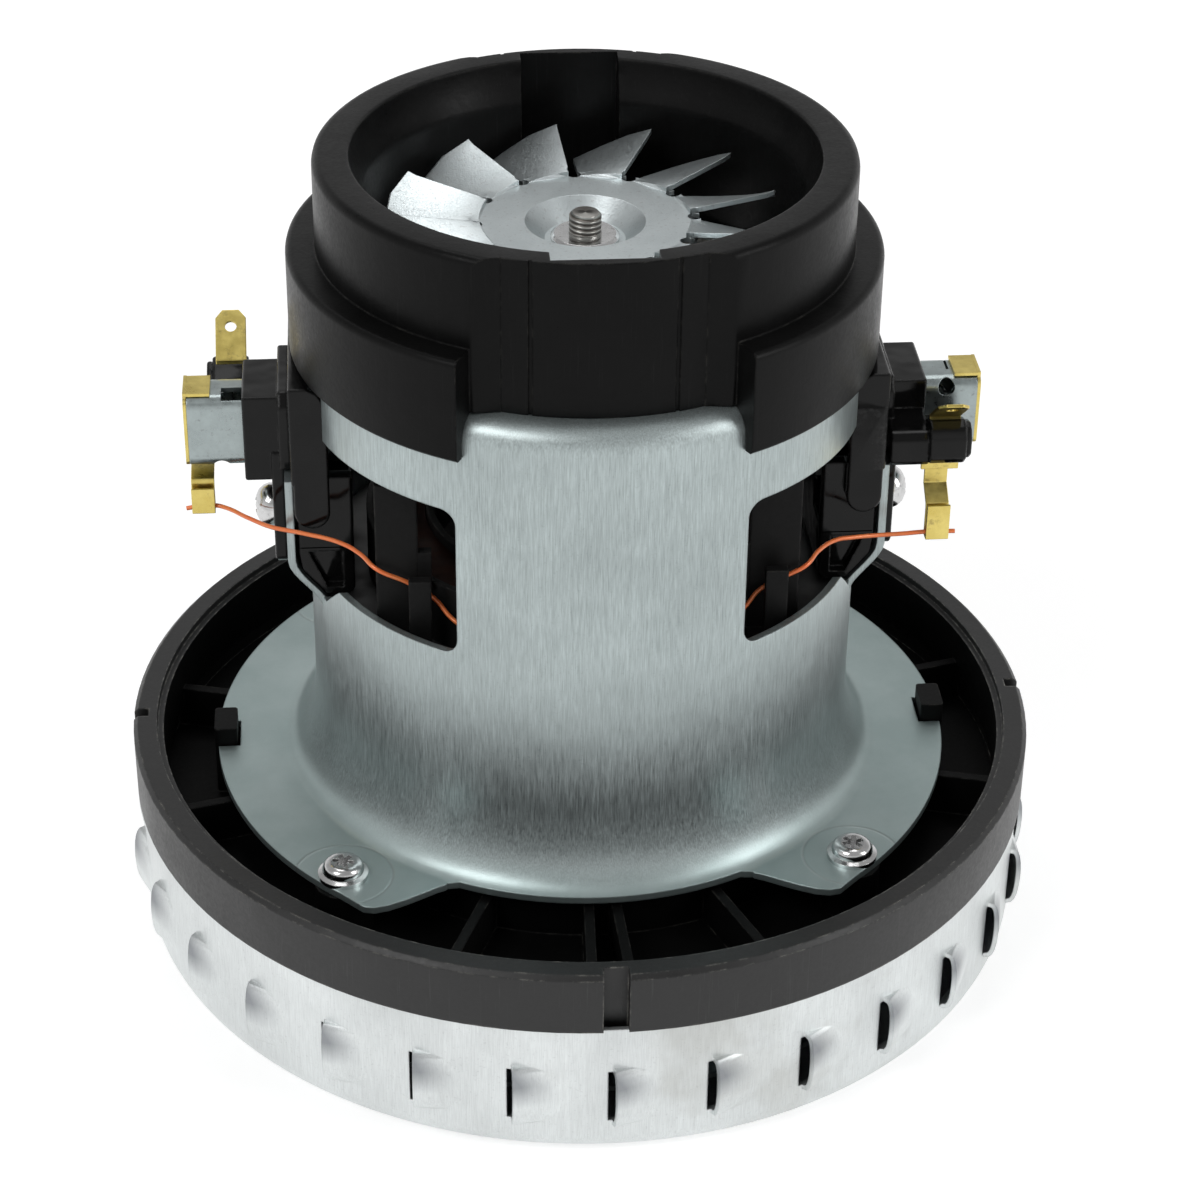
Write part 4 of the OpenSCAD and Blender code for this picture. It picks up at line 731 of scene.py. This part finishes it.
def brush_spring(name, side, node):
    """The spring behind a brush, drawn as a fixed coil between the ends of its CAD node."""
    inner, outer = sorted(abs(corner[0]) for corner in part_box(node))
    inner += SPRING_WIRE_R * MM
    outer -= SPRING_WIRE_R * MM
    turn_steps = 24
    steps = SPRING_TURNS * turn_steps
    ring = 8
    points = []
    faces = []
    for i in range(steps + 1):
        turn = 2 * math.pi * i / turn_steps
        away = Vector((0, math.cos(turn), math.sin(turn)))
        middle = away * SPRING_R * MM
        middle.x = inner + (outer - inner) * i / steps
        for j in range(ring):
            around = 2 * math.pi * j / ring
            out = away * math.cos(around) + Vector((1, 0, 0)) * math.sin(around)
            points.append(middle + out * SPRING_WIRE_R * MM)
    for i in range(steps):
        for j in range(ring):
            ahead = (j + 1) % ring
            faces.append((i * ring + j, i * ring + ahead, (i + 1) * ring + ahead, (i + 1) * ring + j))
    faces += [tuple(range(ring)), tuple(range(len(points) - ring, len(points)))]
    mesh = bpy.data.meshes.new(name)
    mesh.from_pydata(points, [], faces)
    facing_out(mesh)
    mesh.transform(Matrix.Translation((0, 0, BRUSH_Z * MM)))
    mesh.transform(Matrix.Diagonal((side, side, 1, 1)))
    piece = placed(name, mesh)
    dress(piece, FINISHES["zinc"], "zinc", node)
    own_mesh(piece)


def lead_guards(name, side):
    """The tall plates on a field bobbin, which close the space beside the brush gear."""
    near, far = GUARD_Y
    low, high = GUARD_Z
    plates = [box((26.6, near, low), (33, far, high)), box((23.4, -far, low), (31.2, -near, high))]
    dress(solid(name, plates, [], side, GUARD_ROUND), FINISHES["grey_plastic"], "grey_plastic")


def add_floor():
    """A pale floor that renders white and keeps the object's shadow."""
    size = 6.0
    mesh = bpy.data.meshes.new("floor")
    mesh.from_pydata([(-size, -size, 0), (size, -size, 0), (size, size, 0), (-size, size, 0)],
                     [], [(0, 1, 2, 3)])
    floor = placed("floor", mesh)
    material = bpy.data.materials.new("floor_paper")
    mesh.materials.append(material)
    tree = new_tree(material)
    paths = add_node(tree, "LightPath").outputs
    seen = add_node(tree, "Math", {0: paths["Is Camera Ray"], 1: paths["Is Glossy Ray"]},
                    operation="MAXIMUM").outputs[0]
    level = add_node(tree, "Math", {0: seen, 1: PAPER}, operation="MULTIPLY").outputs[0]
    # Far from the object the paper turns white for the camera, so it has no hard horizon
    place = add_node(tree, "TexCoord").outputs["Object"]
    away = add_node(tree, "VectorMath", {0: place}, operation="LENGTH").outputs["Value"]
    far = add_node(tree, "MapRange", {
        "Value": away, "From Min": 0.25, "From Max": 0.9, "To Max": 1.0 - PAPER}).outputs["Result"]
    shown = add_node(tree, "Math", {0: paths["Is Camera Ray"], 1: far, 2: level},
                     operation="MULTIPLY_ADD").outputs[0]
    paint = add_node(tree, "BsdfDiffuse", {"Color": grey(PAPER)}).outputs[0]
    glow = add_node(tree, "Emission", {"Color": WHITE, "Strength": shown}).outputs[0]
    both = add_node(tree, "AddShader", {0: paint, 1: glow}).outputs[0]
    add_node(tree, "OutputMaterial", {"Surface": both})


def add_world():
    """White where the camera and reflections look, and a soft fill elsewhere."""
    world = bpy.data.worlds.new("studio")
    bpy.context.scene.world = world
    tree = new_tree(world)
    paths = add_node(tree, "LightPath").outputs
    seen = add_node(tree, "Math", {0: paths["Is Camera Ray"], 1: paths["Is Glossy Ray"]},
                    operation="MAXIMUM").outputs[0]
    # The room overhead is dimmer than the white paper round the object
    way = add_node(tree, "SeparateXYZ", {0: add_node(tree, "TexCoord").outputs["Generated"]})
    overhead = add_node(tree, "MapRange", {
        "Value": way.outputs[2], "From Min": 0.12, "From Max": 0.55,
        "To Min": 1.0, "To Max": 0.42}).outputs["Result"]
    level = add_node(tree, "Mix", {0: seen, 2: ROOM, 3: overhead}).outputs[0]
    background = add_node(tree, "Background", {"Color": WHITE, "Strength": level}).outputs[0]
    add_node(tree, "OutputWorld", {"Surface": background})


def add_lamp(name, at, aim, size, power):
    """A soft square lamp that points at a place."""
    light = bpy.data.lights.new(name, "AREA")
    light.shape = "RECTANGLE"
    light.size, light.size_y = size
    light.energy = power
    lamp = placed(name, light)
    lamp.location = at
    lamp.rotation_mode = "QUATERNION"
    lamp.rotation_quaternion = (Vector(aim) - Vector(at)).to_track_quat("-Z", "Y")


def add_lights():
    """Three soft lamps: one at each front side and one above the back."""
    middle = (0, 0, 0.07)
    add_lamp("key", (-0.5, -0.45, 0.75), middle, (0.4, 0.4), 2.6)
    add_lamp("fill", (0.7, -0.35, 0.5), middle, (0.3, 0.5), 2.0)
    add_lamp("top", (0, 0.3, 0.9), middle, (0.5, 0.5), 1.8)


def add_camera():
    """The photograph's own camera."""
    level_right = CAMERA_LOOK.cross(Vector((0, 0, 1))).normalized()
    level_up = level_right.cross(CAMERA_LOOK)
    right = level_right * math.cos(CAMERA_ROLL) + level_up * math.sin(CAMERA_ROLL)
    up = level_up * math.cos(CAMERA_ROLL) - level_right * math.sin(CAMERA_ROLL)
    data = bpy.data.cameras.new("camera")
    data.lens = CAMERA_LENS_MM
    data.sensor_width = SENSOR_MM
    data.clip_start = 0.01
    data.clip_end = 20
    camera = placed("camera", data)
    columns = Matrix((right, up, -CAMERA_LOOK)).transposed()
    camera.matrix_world = Matrix.Translation(CAMERA_AT) @ columns.to_4x4()
    bpy.context.scene.camera = camera


bpy.context.scene.view_settings.view_transform = "Standard"
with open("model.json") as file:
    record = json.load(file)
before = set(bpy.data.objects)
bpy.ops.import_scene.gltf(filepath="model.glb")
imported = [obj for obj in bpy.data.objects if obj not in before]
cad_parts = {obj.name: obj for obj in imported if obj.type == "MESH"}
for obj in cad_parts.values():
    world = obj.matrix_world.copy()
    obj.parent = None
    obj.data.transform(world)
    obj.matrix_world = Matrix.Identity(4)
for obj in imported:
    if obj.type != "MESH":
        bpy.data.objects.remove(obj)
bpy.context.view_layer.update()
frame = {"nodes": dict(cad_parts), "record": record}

add_camera()
add_world()
add_lights()
add_floor()
finish_frame_nodes(frame)
brush_tube("tube_shell_left", -1, "brush_tube_left")
brush_tube("tube_shell_right", 1, "brush_tube_right")
lead("lead_wire_left", LEAD_LEFT, -1, "field_lead_left")
lead("lead_wire_right", LEAD_RIGHT, 1, "field_lead_right")
brush_holder("holder_body_left", -1, "brush_holder_left")
brush_holder("holder_body_right", 1, "brush_holder_right")
terminal("terminal_strip_left", -1, "terminal_left")
terminal("terminal_strip_right", 1, "terminal_right")
holder_screw("holder_screw_left", -1, "holder_screws")
holder_screw("holder_screw_right", 1, "holder_screws")
brush_spring("spring_left", -1, "brush_spring_left")
brush_spring("spring_right", 1, "brush_spring_right")
lead_guards("guard_plates_left", -1)
lead_guards("guard_plates_right", 1)
